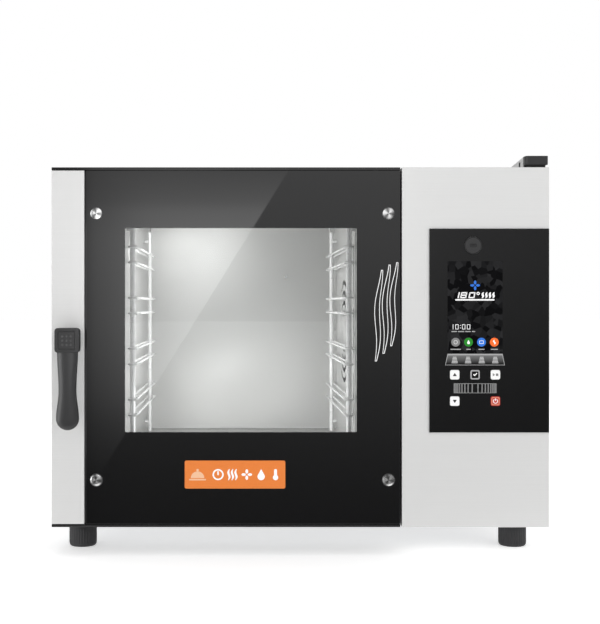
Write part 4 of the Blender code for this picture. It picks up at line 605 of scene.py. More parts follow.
GLASS_X, GLASS_Y, GLASS_Z = spans("outer_glass")
DOOR_FACE = GLASS_Y[0]
WINDOW_WIDTH = 395.6 * MM
WINDOW_X = around(middle(spans("inner_glass")[0]), WINDOW_WIDTH)
WINDOW_Z = (211.1 * MM, 559.4 * MM)
WINDOW_CORNER = 1.5 * MM
CONTROL_X, CONTROL_Y, CONTROL_Z = spans("control_glass")
CONTROL_FACE = CONTROL_Y[0]
SCREEN_X = grown(spans("display_module")[0], -5 * MM)
SCREEN_Z = grown(spans("display_module")[2], -5 * MM)
DECAL = 0.12 * MM
BOLT_HOLE = 4.6 * MM


def decal(face, loops, key, level=1):
    """A thin printed or inlaid shape on a front face, raised by its level."""
    front = face - level * DECAL
    return plate("decal", "front", loops, (front, front + 0.8 * DECAL)), key


# ---------------------------------------------------------------- door


def eased(mesh, width, where, segments=3):
    """Rounds the edges of a mesh that the test picks."""
    work = bmesh.new()
    work.from_mesh(mesh)
    chosen = [e for e in work.edges if e.calc_face_angle(0.0) > 0.5 and where(e)]
    bmesh.ops.bevel(work, geom=chosen, offset=width, segments=segments, profile=0.5, affect="EDGES")
    bpy.data.meshes.remove(mesh)
    return mesh_from("eased", work)


def bolt_centres():
    names = [f"glass_bolt_{side}_{level}" for side in ("left", "right") for level in ("lower", "upper")]
    return {name: (middle(spans(name)[0]), middle(spans(name)[2])) for name in names}


def door_glass():
    """The black border of the outer pane and the clear window inside it, flush with each other."""
    loops = [rounded(GLASS_X, GLASS_Z, 2 * MM), rounded(WINDOW_X, WINDOW_Z, WINDOW_CORNER)]
    loops += [circle(centre, BOLT_HOLE) for centre in bolt_centres().values()]
    border = plate("border", "front", loops, GLASS_Y)
    inside = (grown(GLASS_X, -4 * MM), grown(GLASS_Z, -4 * MM))

    def outer(edge):
        return all(
            abs(v.co.y - DOOR_FACE) < 1e-5
            and not (inside[0][0] < v.co.x < inside[0][1] and inside[1][0] < v.co.z < inside[1][1])
            for v in edge.verts
        )

    border = eased(border, 0.7 * MM, outer)
    piece("door_glass_border", [(border, "black_glass")], "door", ["outer_glass"])
    gap = 0.02 * MM
    pane = plate(
        "pane", "front", [rounded(grown(WINDOW_X, -gap), grown(WINDOW_Z, -gap), WINDOW_CORNER)], GLASS_Y,
    )
    piece("door_glass_window", [(pane, "window_glass")], "door")


def door_bolts():
    profile = [
        (0, 3.7), (2.2, 3.7), (2.5, 3.3), (2.9, 3.7), (5.4, 3.75), (8.4, 3.5), (9.6, 2.9), (10.0, 2.0),
        (10.0, 1.3),
        (10.1, 1.2), (10.7, 1.2), (11.2, 0.9), (11.35, 0.4), (11.35, 0.05), (4.0, 0.05), (4.0, -13.9),
        (0, -13.9),
    ]
    scaled = [(r * MM, a * MM) for r, a in profile]
    for name, (x, z) in bolt_centres().items():
        place = (x, DOOR_FACE, z)
        head = lathe("head", "-y", place, scaled[:10] + [(10.1 * MM, 0.06 * MM), *scaled[14:]])
        ring = lathe("ring", "-y", place, [(10.1 * MM, 0.05 * MM), *scaled[9:14], (10.1 * MM, 0.05 * MM)])
        parts = [(head, "bolt_face"), (ring, "black_rubber")]
        piece(name + "_cap", parts, "door", [name], place)


def wave_ribbon(x, z, half, swing, turns, lean, inset=0.0):
    """A tapering wavy ribbon as one closed outline."""
    sides = ([], [])
    steps = 40
    for step in range(steps + 1):
        t = step / steps
        level = z[0] + inset + (z[1] - z[0] - 2 * inset) * t
        centre = x + lean * (t - 0.5) + swing * math.sin(math.tau * turns * t)
        width = half * math.sin(math.pi * (0.12 + 0.76 * t)) - inset
        sides[0].append((centre + width, level))
        sides[1].append((centre - width, level))
    return sides[0] + sides[1][::-1]


def drop(x, z, radius):
    """A drop with its point up."""
    loop = arc((x, z), radius, -210, 30, 20)
    return [*loop, (x, z + radius * 2.1)]


def fan_icon(x, z, radius, blades=4):
    shapes = []
    for number in range(blades):
        turn = math.tau * number / blades
        c, n = math.cos(turn), math.sin(turn)
        outline = arc((radius * 0.56, 0), radius * 0.40, 0, 345, 16)
        petal = [(x + u * c - v * 0.62 * n, z + u * n + v * 0.62 * c) for u, v in outline]
        shapes.append(petal)
    return shapes


def door_motifs():
    """The generic marks on the door: steam plumes beside the window and kitchen signs on the badge."""
    shapes = []
    for x, low, high in ((133, 332, 488), (146, 345, 497), (159, 358, 501)):
        z = (low * MM, high * MM)
        outer = wave_ribbon(x * MM, z, 4.6 * MM, 2.6 * MM, 1.25, 8 * MM)
        inner = wave_ribbon(x * MM, z, 4.6 * MM, 2.6 * MM, 1.25, 8 * MM, 1.0 * MM)
        shapes.append(decal(DOOR_FACE, [outer, inner], "icon_white"))
    piece("door_steam_marks", shapes, "door")
    x, y, z = spans("badge_plate")
    body = plate("badge", "front", [rounded(x, z, 3 * MM)], (y[0] + 0.3 * MM, y[1]), 0.35 * MM)
    parts = [(body, "orange_plate")]
    face = y[0] + 0.3 * MM
    cz = middle(z)

    def mark(loops, key="icon_white", level=1):
        parts.append(decal(face, loops, key, level))

    dish = x[0] + 22 * MM
    mark([arc((dish, cz - 6 * MM), 11.5 * MM, 0, 180, 24)], "icon_peach")
    mark([rounded(around(dish, 29 * MM), around(cz - 8.6 * MM, 2.6 * MM), 1.2 * MM)], "icon_peach")
    mark([circle((dish, cz + 7.6 * MM), 2.2 * MM)], "icon_peach")
    start = x[0] + 57 * MM
    pitch = 24.5 * MM
    radius = 9.5 * MM
    mark([circle((start, cz), radius), circle((start, cz), radius - 2.6 * MM)])
    mark([rounded(around(start, 2.4 * MM), (cz - 1 * MM, cz + 6 * MM), 1.1 * MM)])
    for number in (-1, 0, 1):
        middle_x = start + pitch + number * 6 * MM
        mark([wave_ribbon(middle_x, (cz - radius, cz + radius), 1.9 * MM, 1.5 * MM, 1.0, 2 * MM)])
    for petal in fan_icon(start + 2 * pitch, cz, radius):
        mark([petal])
    mark([drop(start + 3 * pitch, cz - 3.4 * MM, 6.2 * MM)])
    mark([rounded(around(start + 4 * pitch, 5 * MM), (cz - 4 * MM, cz + radius), 2.4 * MM)])
    mark([circle((start + 4 * pitch, cz - 5 * MM), 4.6 * MM)], "icon_white", 2)
    piece("badge_panel", parts, "door", ["badge_plate"])


def door_parts():
    x, y, z = spans("handle_strip")
    strip = plate("strip", "front", [rounded(x, z, 1 * MM)], y, 0.8 * MM)
    piece("handle_strip_cover", [(strip, "light_steel")], "door", ["handle_strip"])
    rolled("door_pan", "door_frame", "door", "black_steel", "black_steel", 0.5 * MM, longer=0.004)
    rolled("door_liner", "door_inner_panel", "door", "cavity_steel", "cavity_steel", 0.4 * MM, longer=0.004)
    x, y, z = spans("inner_glass")
    pane = plate("inner", "front", [rounded(x, z, 6 * MM)], y, 0.6 * MM)
    piece("inner_pane", [(pane, "clear_glass")], "door", ["inner_glass"])
    x, y, z = spans("led_bar")
    body = block("led_body", x, (y[0] + 3 * MM, y[1]), z, 0.6 * MM)
    lens = block("led_lens", grown(x, -1.5 * MM), (y[0], y[1] - 4 * MM), grown(z, -4 * MM), 1.2 * MM, 3)
    piece(
        "lamp_bar", [(body, "polished_steel"), (lens, "led_diffuser")], "door",
        ["led_bar"],
    )
    for name in ("hinge_bush_bottom", "hinge_bush_top"):
        rolled(name + "_sleeve", name, "door", "white_plastic", "white_plastic", 0.2 * MM)


# ---------------------------------------------------------------- handle

LEVER_BULB_LEVEL = 23.2 * MM
LEVER_END_DROP = 19.2 * MM
LEVER_HALVES = (19.3 * MM, 15.0 * MM, 17.7 * MM)
LEVER_HEAD = 41.5 * MM
LEVER_BOSS = 31.5 * MM
NUB_PITCH = 7.1 * MM


def lever_section(z, half, front, back, power):
    """One closed ring of the lever's cross-section, as (x, y, z) offsets from its axis."""
    ring = []
    sides = 40
    depth_half = (back - front) / 2
    for n in range(sides):
        c = math.cos(math.tau * n / sides)
        s = math.sin(math.tau * n / sides)
        x = half * math.copysign(abs(c) ** (2 / power), c)
        y = (front + back) / 2 + depth_half * math.copysign(abs(s) ** (2 / power), s)
        ring.append((x, y, z))
    return ring


def loft(name, rings, degrees=40.0):
    work = bmesh.new()
    made = [[work.verts.new(p) for p in ring] for ring in rings]
    for low, high in zip(made, made[1:]):
        for n in range(len(low)):
            m = (n + 1) % len(low)
            work.faces.new((low[n], low[m], high[m], high[n]))
    work.faces.new(made[0][::-1])
    work.faces.new(made[-1])
    return mesh_from(name, work, degrees)


def handle():
    x, y, z = spans("handle_lever")
    cx = middle(x)
    front = y[0]
    bulb_z = z[0] + LEVER_BULB_LEVEL
    bulb, waist, neck = LEVER_HALVES
    waist_z = z[0] + 70 * MM
    top_z = z[1] - 36 * MM
    rings = []
    for step in range(12):
        turn = math.radians(3 + 87 * step / 11)
        share = math.sin(turn)
        level = bulb_z - LEVER_END_DROP * math.cos(turn)
        half_deep = 10.2 * MM * share**0.8
        middle_y = front + 12.2 * MM
        rings.append(lever_section(level, bulb * share, middle_y - half_deep, middle_y + half_deep, 2.3))
    steps = 30
    for step in range(1, steps + 1):
        level = bulb_z + (top_z - bulb_z) * step / steps
        if level < waist_z:
            ease = (1 + math.cos(math.pi * (level - bulb_z) / (waist_z - bulb_z))) / 2
            half = waist + (bulb - waist) * ease
        else:
            ease = (1 - math.cos(math.pi * (level - waist_z) / (top_z - waist_z))) / 2
            half = waist + (neck - waist) * ease
        bow = 0.9 * MM * math.sin(math.pi * step / steps)
        rings.append(lever_section(level, half, front + 2.0 * MM - bow, front + 22.4 * MM, 2.15))
    grip = loft("grip", [[(cx + px, py, pz) for px, py, pz in ring] for ring in rings])
    head_z = (z[1] - LEVER_HEAD, z[1])
    loop = rounded(grown(x, -0.1 * MM), head_z, 6.0 * MM, 10)
    head = plate("head", "front", [loop], (front + 2.4 * MM, front + 23.8 * MM), 2.4 * MM, 5)
    pad_x = around(cx, 29 * MM)
    pad_z = (head_z[0] + 5.0 * MM, head_z[1] - 5.6 * MM)
    rim = plate(
        "rim", "front", [loop, rounded(pad_x, pad_z, 3 * MM)], (front + 1.0 * MM, front + 8 * MM),
        1.3 * MM, 4,
    )
    inner = rounded(grown(pad_x, -1.5 * MM), grown(pad_z, -1.5 * MM), 2.0 * MM)
    pad = plate("pad", "front", [inner], (front + 1.2 * MM, front + 6 * MM), 0.5 * MM, 3)
    parts = [(shape, "black_plastic") for shape in (grip, head, rim, pad)]
    for row in (-1, 0, 1):
        for column in (-1, 0, 1):
            place = (cx + column * NUB_PITCH, front + 1.2 * MM, middle(pad_z) + row * NUB_PITCH)
            nub = lathe(
                "nub", "-y", place,
                [(0, -0.4 * MM), (3.0 * MM, -0.4 * MM), (0.5 * MM, 1.15 * MM), (0, 1.15 * MM)], 4,
            )
            parts.append((nub, "black_plastic"))
    axis_z = z[1] - LEVER_HEAD / 2
    boss = plate(
        "boss", "front", [rounded(around(cx, LEVER_BOSS), around(axis_z, LEVER_BOSS), 5 * MM)],
        (front + 12 * MM, DOOR_FACE - 2.3 * MM), 0.8 * MM,
    )
    parts.append((boss, "black_plastic"))
    piece("handle_grip", parts, "handle", ["handle_lever"])
    rolled("latch_spindle_bar", "latch_spindle", "handle", "zinc_steel", "zinc_steel", 0.3 * MM)


# ---------------------------------------------------------------- control column

SEGMENTS = {0: "abcdef", 1: "bc", 8: "abcdefg"}
SLIDER_DROP = 31.3 * MM
SLIDER_TALL = 16.5 * MM
SLIDER_EDGES = [4.9, 11.9, 17.4, 22.4, 26.6, 29.6, 32.2, 34.5, 36.6]


def digit(u, v, width, tall, number, lean=0.0, stroke=0.24):
    """Rounded strokes of one figure, lower left corner at (u, v)."""
    thick = width * stroke
    half = tall / 2
    bars = {
        "a": ((0, width), (tall - thick, tall)), "g": ((0, width), (half - thick / 2, half + thick / 2)),
        "d": ((0, width), (0, thick)), "b": ((width - thick, width), (half, tall)),
        "c": ((width - thick, width), (0, half)),
        "f": ((0, thick), (half, tall)), "e": ((0, thick), (0, half)),
    }
    loops = []
    for name in SEGMENTS[number]:
        bu, bv = bars[name]
        loop = rounded(bu, bv, thick * 0.3, 3)
        loops.append([(u + pu + lean * pv, v + pv) for pu, pv in loop])
    return loops


def screen_u(share):
    return SCREEN_X[0] + (SCREEN_X[1] - SCREEN_X[0]) * share


def screen_v(share):
    return SCREEN_Z[1] - (SCREEN_Z[1] - SCREEN_Z[0]) * share


def display():
    """The lit screen: a dish sign, a temperature, the time, four round keys and their captions."""
    face = CONTROL_FACE
    parts = [decal(face, [rounded(SCREEN_X, SCREEN_Z, 0.6 * MM)], "screen")]

    def show(loops, key, level=2):
        parts.extend(decal(face, [loop], key, level) for loop in loops)

    def bar(u, v, radius, key, steps=8):
        """A rounded bar between shares of the screen's width and height."""
        show(
            [rounded((screen_u(u[0]), screen_u(u[1])), (screen_v(v[0]), screen_v(v[1])), radius, steps)],
            key,
        )

    def ring(u, v, outer, inner, key, level, steps=48):
        centre = (screen_u(u), screen_v(v))
        loops = [circle(centre, outer * MM, steps), circle(centre, inner * MM, steps)]
        parts.append(decal(face, loops, key, level))

    show(fan_icon(screen_u(0.50), screen_v(0.262), 8.6 * MM), "icon_blue")
    for spot, number in ((0.09, 1), (0.225, 8), (0.375, 0)):
        figure = digit(screen_u(spot), screen_v(0.402), 10.5 * MM, 10.4 * MM, number, 0.22, 0.20)
        show(figure, "icon_white")
    ring(0.555, 0.35, 2.8, 1.3, "icon_white", 2)
    plume_v = (screen_v(0.402), screen_v(0.336))
    for n in range(4):
        show(
            [wave_ribbon(screen_u(0.64 + 0.065 * n), plume_v, 1.9 * MM, 0.9 * MM, 1.0, 2.4 * MM)],
            "icon_white",
        )
    bar((0.14, 0.85), (0.427, 0.411), 0.8 * MM, "icon_white")
    for spot, number in ((0.045, 1), (0.140, 0), (0.262, 0), (0.352, 0)):
        show(digit(screen_u(spot), screen_v(0.739), 5.6 * MM, 8.6 * MM, number, stroke=0.17), "icon_white")
    for place in (0.696, 0.724):
        show([circle((screen_u(0.232), screen_v(place)), 0.7 * MM, 12)], "icon_white")
    for words in ((0.07, 0.17), (0.19, 0.30), (0.32, 0.42), (0.44, 0.50)):
        bar(words, (0.768, 0.757), 0.5 * MM, "icon_silver", 3)
    for spot, key, half in (
        (0.146, "icon_grey", 0.095), (0.38, "icon_green", 0.04), (0.615, "icon_blue", 0.055),
        (0.849, "icon_orange", 0.065),
    ):
        show([circle((screen_u(spot), screen_v(0.878)), 7.5 * MM)], key)
        bar((spot - half, spot + half), (0.961, 0.95), 0.6 * MM, "icon_silver", 3)
    ring(0.146, 0.878, 3.6, 2.4, "icon_bright", 3, 16)
    show([drop(screen_u(0.38), screen_v(0.885), 2.4 * MM)], "icon_white", 3)
    page = rounded(around(screen_u(0.615), 7.4 * MM), around(screen_v(0.878), 5.6 * MM), 0.8 * MM)
    page_in = rounded(around(screen_u(0.615), 5.8 * MM), around(screen_v(0.878), 4.0 * MM), 0.5 * MM)
    parts.append(decal(face, [page, page_in], "icon_white", 3))
    flame_v = (screen_v(0.902), screen_v(0.853))
    show([wave_ribbon(screen_u(0.849), flame_v, 1.6 * MM, 1.1 * MM, 1.0, 0)], "icon_white", 3)
    piece("touch_screen", parts, "cabinet", ["display_module"])


def soft_keys():
    """The silvered strip under the screen with four raised grips, and the scroll bar between the keys."""
    top, bottom = screen_v(1.004), screen_v(1.128)
    outer = [
        (screen_u(-0.044), bottom), (screen_u(1.041), bottom), (screen_u(1.0), top), (screen_u(0.0), top),
    ]
    inner = [
        (screen_u(-0.034), bottom + 0.8 * MM), (screen_u(1.031), bottom + 0.8 * MM),
        (screen_u(0.992), top - 2.6 * MM),
        (screen_u(0.008), top - 2.6 * MM),
    ]
    parts = [
        decal(CONTROL_FACE, [outer, inner], "icon_silver"),
        decal(CONTROL_FACE, [inner], "strip_fade", 0.5),
    ]
    for spot in (0.129, 0.373, 0.62, 0.866):
        for row in range(5):
            half = (3.2 + 0.55 * row) * MM
            v = screen_v(1.037 + 0.0152 * row)
            loop = rounded((screen_u(spot) - half, screen_u(spot) + half), (v - 1.25 * MM, v), 0.4 * MM, 3)
            parts.append(decal(CONTROL_FACE, [loop], "icon_bright"))
    cu = screen_u(0.5)
    low = middle(spans("key_ok")[2]) - SLIDER_DROP
    bar_z = (low, low + SLIDER_TALL)
    cells = [(-SLIDER_EDGES[0], SLIDER_EDGES[0])]
    for near, far in zip(SLIDER_EDGES, SLIDER_EDGES[1:]):
        cells += [(-far, -near), (near, far)]
    for cell in cells:
        cell = grown((cu + cell[0] * MM, cu + cell[1] * MM), -0.25 * MM)
        inner = rounded(grown(cell, -0.55 * MM), grown(bar_z, -0.6 * MM), 0.2 * MM, 3)
        parts.append(decal(CONTROL_FACE, [rounded(cell, bar_z, 0.3 * MM, 3), inner], "icon_silver"))
    piece("key_field_print", parts, "cabinet")


def key_signs(name, x, z, face):
    """The generic sign on each key."""
    small = 3.4 * MM
    if name in ("key_up", "key_down"):
        up = 1 if name == "key_up" else -1
        arrow = [(x - small, z - up * 2.2 * MM), (x + small, z - up * 2.2 * MM), (x, z + up * 3 * MM)]
        return [decal(face, [arrow], "icon_black")]
    if name == "key_ok":
        well = rounded(around(x, 11.4 * MM), around(z, 11.4 * MM), 1.4 * MM)
        tick = [(-3.4, 0.2), (-2.2, 1.4), (-0.8, 0.0), (2.5, 3.2), (3.6, 2.0), (-0.8, -2.4)]
        return [
            decal(face, [well], "icon_black"),
            decal(face, [[(x + u * MM, z + v * MM) for u, v in tick]], "icon_white", 2),
        ]
    if name == "key_start_stop":
        play = [(x - 4.6 * MM, z - 2.6 * MM), (x - 0.6 * MM, z), (x - 4.6 * MM, z + 2.6 * MM)]
        return [
            decal(face, [play], "icon_grey"),
            decal(
                face, [rounded(around(x + 2.8 * MM, 4.2 * MM), around(z, 4.2 * MM), 0.3 * MM, 3)],
                "icon_grey",
            ),
        ]
    ring = arc((x, z), 4.2 * MM, 120, 420, 24) + arc((x, z), 3.0 * MM, 420, 120, 24)
    frame_loops = [
        rounded(around(x, 13 * MM), around(z, 13 * MM), 2 * MM),
        rounded(around(x, 11.6 * MM), around(z, 11.6 * MM), 1.5 * MM),
    ]
    return [
        decal(face, frame_loops, "icon_peach"),
        decal(face, [ring], "icon_white"),
        decal(face, [rounded(around(x, 1.3 * MM), (z + 0.4 * MM, z + 5 * MM), 0.5 * MM, 3)], "icon_white"),
    ]


def keys():
    looks = {
        "key_up": ("up_key", "white_plastic"), "key_ok": ("ok_key", "grey_plastic"),
        "key_start_stop": ("start_stop_key", "white_plastic"), "key_down": ("down_key", "white_plastic"),
        "key_power": ("power_key", "red_plastic"),
    }
    for name, (body, key) in looks.items():
        x, y, z = spans(name)
        parts = [(refined(name, 0.3 * MM), key)]
        parts += key_signs(name, middle(x), middle(z), y[0])
        piece(name + "_cap", parts, body, [name])


def control_column():
    rolled("column_cover", "column_front", "cabinet", "light_steel", "light_steel", 1.0 * MM, 3, longer=0.03)
    rolled("control_panel_glass", "control_glass", "cabinet", "control_glass", "black_glass", 0.35 * MM)
    display()
    soft_keys()
    keys()
    x, y, z = spans("usb_cover")
    cx, cz = middle(x), middle(z)
    parts = [(refined("usb_cover", 0.6 * MM, 3), "control_plug")]
    parts.append(decal(y[0], [circle((cx, cz), 14 * MM), circle((cx, cz), 13.4 * MM)], "icon_black"))
    port = [
        rounded(around(cx, 11 * MM), around(cz, 5.4 * MM), 1.2 * MM),
        rounded(around(cx, 9.6 * MM), around(cz, 4 * MM), 0.8 * MM),
    ]
    parts.append(decal(y[0], port, "icon_black"))
    parts.append(
        decal(y[0], [rounded(around(cx, 7 * MM), around(cz + 0.6 * MM, 1.2 * MM), 0.2 * MM, 3)], "icon_black")
    )
    piece("service_port_plug", parts, "usb_plug", ["usb_cover"])
    for name, key in (
        ("control_board", "circuit_board"), ("power_board", "circuit_board"),
        ("usb_socket", "polished_steel"),
    ):
        rolled(name + "_unit", name, "cabinet", key, key, 0.2 * MM)


# ---------------------------------------------------------------- cabinet


def screw(place, axis, radius=3.8 * MM, tall=1.5 * MM):
    """A pan-head screw with a round socket."""
    profile = [
        (0, tall * 0.3), (radius * 0.34, tall * 0.3), (radius * 0.38, tall), (radius * 0.75, tall * 0.92),
        (radius * 0.95, tall * 0.6), (radius, tall * 0.2), (radius, -0.4 * MM), (0, -0.4 * MM),
    ]
    return lathe("screw", axis, place, profile, 24), "polished_steel"


def side_panels():
    """Each side is a flat sheet with rounded corners, held by sunk screws."""
    for name, outward in (("side_panel_left", -1), ("side_panel_right", 1)):
        x, y, z = spans(name)
        face = x[0] if outward < 0 else x[1]
        places = [
            (py, pz)
            for py in (y[0] + 22 * MM, middle(y), y[1] - 22 * MM) for pz in (z[0] + 20 * MM, z[1] - 20 * MM)
        ]
        loops = [rounded(y, z, 1.2 * MM)] + [circle(place, 5 * MM, 32) for place in places]
        sheet = plate("sheet", "side", loops, x, 0.4 * MM)
        # The sheet's darker steel is painted shade.
        parts = [(sheet, "painted_shade_steel")]
        sunk = face - outward * 0.35 * MM
        for py, pz in places:
            profile = [(0, -0.5), (1.5, -0.5), (1.7, 0), (3.6, 0), (4.9, -0.55), (4.9, -1.1), (0, -1.1)]
            head = lathe(
                "sunk", "x" if outward > 0 else "-x", (sunk, py, pz),
                [(r * MM, a * MM) for r, a in profile], 32
            )
            parts.append((head, "polished_steel"))
        piece(name + "_sheet", parts, "cabinet", [name])


def covers():
    x, y, z = spans("top_cover")
    parts = [(refined("top_cover", 0.6 * MM, longer=0.03), "top_steel")]
    for px in (x[0] + 14 * MM, -0.14, 0.14, x[1] - 60 * MM):
        for py in (y[0] + 14 * MM, y[1] - 14 * MM):
            parts.append(screw((px, py, z[1]), "z"))
    for py in (y[0] + 0.2, y[1] - 0.2):
        parts.append(screw((x[0] + 14 * MM, py, z[1]), "z"))
    piece("top_sheet", parts, "cabinet", ["top_cover"])

    x, y, z = spans("rear_cover")
    parts = [(refined("rear_cover", 0.5 * MM, longer=0.03), "zinc_steel")]
    for pz in (z[0] + 12 * MM, middle(z), z[1] - 12 * MM):
        for px in (x[0] + 12 * MM, x[1] - 12 * MM):
            parts.append(screw((px, y[1], pz), "y"))
    for px in (-0.22, 0.0, 0.19):
        for pz in (z[0] + 12 * MM, z[1] - 12 * MM):
            parts.append(screw((px, y[1], pz), "y"))
    fx, _, fz = spans("cooling_fan_frame")
    cx, cz = middle(fx), middle(fz)
    for radius in (14, 22, 30, 38, 46, 54):
        points = [(u, y[1] + 3.4 * MM, v) for u, v in circle((cx, cz), radius * MM)]
        parts.append((tube("guard", points, 1.8 * MM, closed=True, resolution=3), "polished_steel"))
    for turn in range(4):
        angle = math.radians(45 + 90 * turn)
        reach = [(cx + r * math.cos(angle), cz + r * math.sin(angle)) for r in (12 * MM, 54 * MM, 72 * MM)]
        points = [(u, y[1] + d * MM, v) for (u, v), d in zip(reach, (1.9, 1.9, 1.2))]
        parts.append((tube("spoke", points, 2.2 * MM, resolution=3), "polished_steel"))
        parts.append(screw((reach[2][0], y[1] + 1.2 * MM, reach[2][1]), "y"))
    plate_x, plate_z = (-0.36, -0.24), (0.12, 0.19)
    body = plate("rating", "front", [rounded(plate_x, plate_z, 3 * MM)], (y[1], y[1] + 0.6 * MM), 0.2 * MM)
    parts.append((body, "polished_steel"))
    parts.append((lathe("stud", "y", (0.23, y[1], 0.11), [(0, 9 * MM), (2.6 * MM, 9 * MM), (3 * MM, 8.4 * MM),
                  (3 * MM, 4 * MM), (6 * MM, 4 * MM), (6 * MM, 0), (0, 0)], 24), "brass"))
    piece("rear_sheet", parts, "cabinet", ["rear_cover"])

    rolled("base_pan", "base_tray", "cabinet", "zinc_steel", "zinc_steel", 0.6 * MM, longer=0.03)
    rolled("front_surround", "front_frame", "cabinet", "cavity_steel", "cavity_steel", 0.4 * MM, longer=0.03)
    for name in ("hinge_rail_top", "hinge_rail_bottom"):
        rolled(name + "_bar", name, "cabinet", "rail_gloss", "black_steel", 0.5 * MM)


def vent():
    x, y, z = spans("vent_cap")
    hood = plate("hood", "top", [[
        *arc((x[0] + 6 * MM, y[0] + 6 * MM), 6 * MM, 180, 270, 8),
        *arc((x[1] - 2 * MM, y[0] + 2 * MM), 2 * MM, 270, 360, 5),
        (x[1], y[1]), (x[0], y[1]),
    ]], (z[0] - 1.6 * MM, z[1]), 0.9 * MM, 3)
    # The black skirt under the hood stands in for the shadow beneath it: painted shadow.
    painted_shadow_skirt = plate("painted_shadow_skirt", "top", [[
        *arc((x[0] + 8 * MM, y[0] + 8 * MM), 6 * MM, 180, 270, 8),
        *arc((x[1] - 6 * MM, y[0] + 4 * MM), 2 * MM, 270, 360, 5),
        (x[1] - 4 * MM, y[1]), (x[0] + 2 * MM, y[1]),
    ]], (z[0] - 6.1 * MM, z[0] + 3.6 * MM), 0.8 * MM, 3)
    piece(
        "vent_hood", [(hood, "black_plastic"), (painted_shadow_skirt, "painted_shadow")], "cabinet",
        ["vent_cap"],
    )
    duct = refined("vent_housing", 0.5 * MM, 3)
    hx, hy, hz = spans("vent_housing")
    slot_y = hy[0] + 31 * MM
    # The black plate in the duct stands in for the shade inside its slot: painted shadow.
    painted_shadow_slot = plate("painted_shadow_slot", "side", [
        rounded(around(slot_y, 19 * MM), (hz[0] + 0.5 * MM, hz[1] - 6 * MM), 6 * MM)
    ],
                 (hx[0] + 1.7 * MM, hx[0] + 2.4 * MM))
    piece(
        "vent_duct", [(duct, "light_steel"), (painted_shadow_slot, "painted_shadow")], "cabinet",
        ["vent_housing"],
    )


FOOT_RIBS = 32
FOOT_RIB_DEPTH = 0.9 * MM
FOOT_SHAPE = [
    (0, 0, 0), (19, 0, 0), (21.5, 0.4, 0), (23.2, 1.8, 0), (24.0, 4.0, 0), (24.1, 5.0, 0), (24.4, 6.2, 1),
    (24.45, 14, 1), (24.45, 24, 1), (24.4, 33.4, 1), (23.6, 34.6, 0), (23.6, 36.4, 0), (24.3, 37.4, 0),
    (24.3, 45.5, 0), (23.6, 46.6, 0), (12, 46.8, 0),
]


def feet():
    """Rubber-capped levelling feet with moulded ribs."""
    for end in ("front", "rear"):
        for side in ("left", "right"):
            name = f"foot_{end}_{side}"
            x, y, z = spans(name)
            place = (middle(x), middle(y), 0.0)
            top = min(z[1], 48.2 * MM)
            shape = [*FOOT_SHAPE, (12, 1000 * top - 0.1, 0), (0, 1000 * top - 0.1, 0)]
            profile = [(radius * MM, level * MM, ribbed) for radius, level, ribbed in shape]
            body = lathe("foot", "z", place, profile, 192, 40.0, FOOT_RIBS, FOOT_RIB_DEPTH)
            stem = lathe("stem", "z", place, [(0, top - 1 * MM), (5 * MM, top - 1 * MM), (
                5 * MM, z[1] - 1 * MM,
            ),
                         (4 * MM, z[1]), (0, z[1])], 32)
            piece(
                name + "_pad", [(body, "black_rubber"), (stem, "zinc_steel")], f"{end}_{side}_foot",
                [name],
            )


# ---------------------------------------------------------------- cavity


def cavity():
    mouth = spans("cavity_liner")[1][0]

    def behind_mouth(edge):
        return all(v.co.y > mouth + 2 * MM for v in edge.verts)

    rolled(
        "cavity_shell", "cavity_liner", "cabinet", "cavity_steel", "cavity_steel", 2.5 * MM, 4, longer=0.2,
        where=behind_mouth,
    )
    rolled("jacket", "insulation", "cabinet", "mineral_wool", "mineral_wool", 4 * MM, 3, longer=0.1)
    rolled("door_seal", "door_gasket", "cabinet", "grey_silicone", "grey_silicone", 2.6 * MM, 4, longer=0.01)
    x, y, z = spans("fan_baffle")
    parts = [(refined("fan_baffle", 0.35 * MM), "cavity_steel")]
    for py in (y[0] + 9 * MM, y[1] - 9 * MM):
        for pz in (z[0] + 9 * MM, middle(z), z[1] - 9 * MM):
            parts.append(screw((x[0], py, pz), "-x", 4.5 * MM, 1.8 * MM))
    piece("air_baffle", parts, "cabinet", ["fan_baffle"])


RACK_LEVELS = 4
RACK_LOWEST = 232.7 * MM
RACK_PITCH = 90.3 * MM
RACK_REACH = 193.5 * MM
LOOP_REACH = 191.75 * MM
LOOP_RISE = 27.8 * MM
WALL_REACH = 204.4 * MM


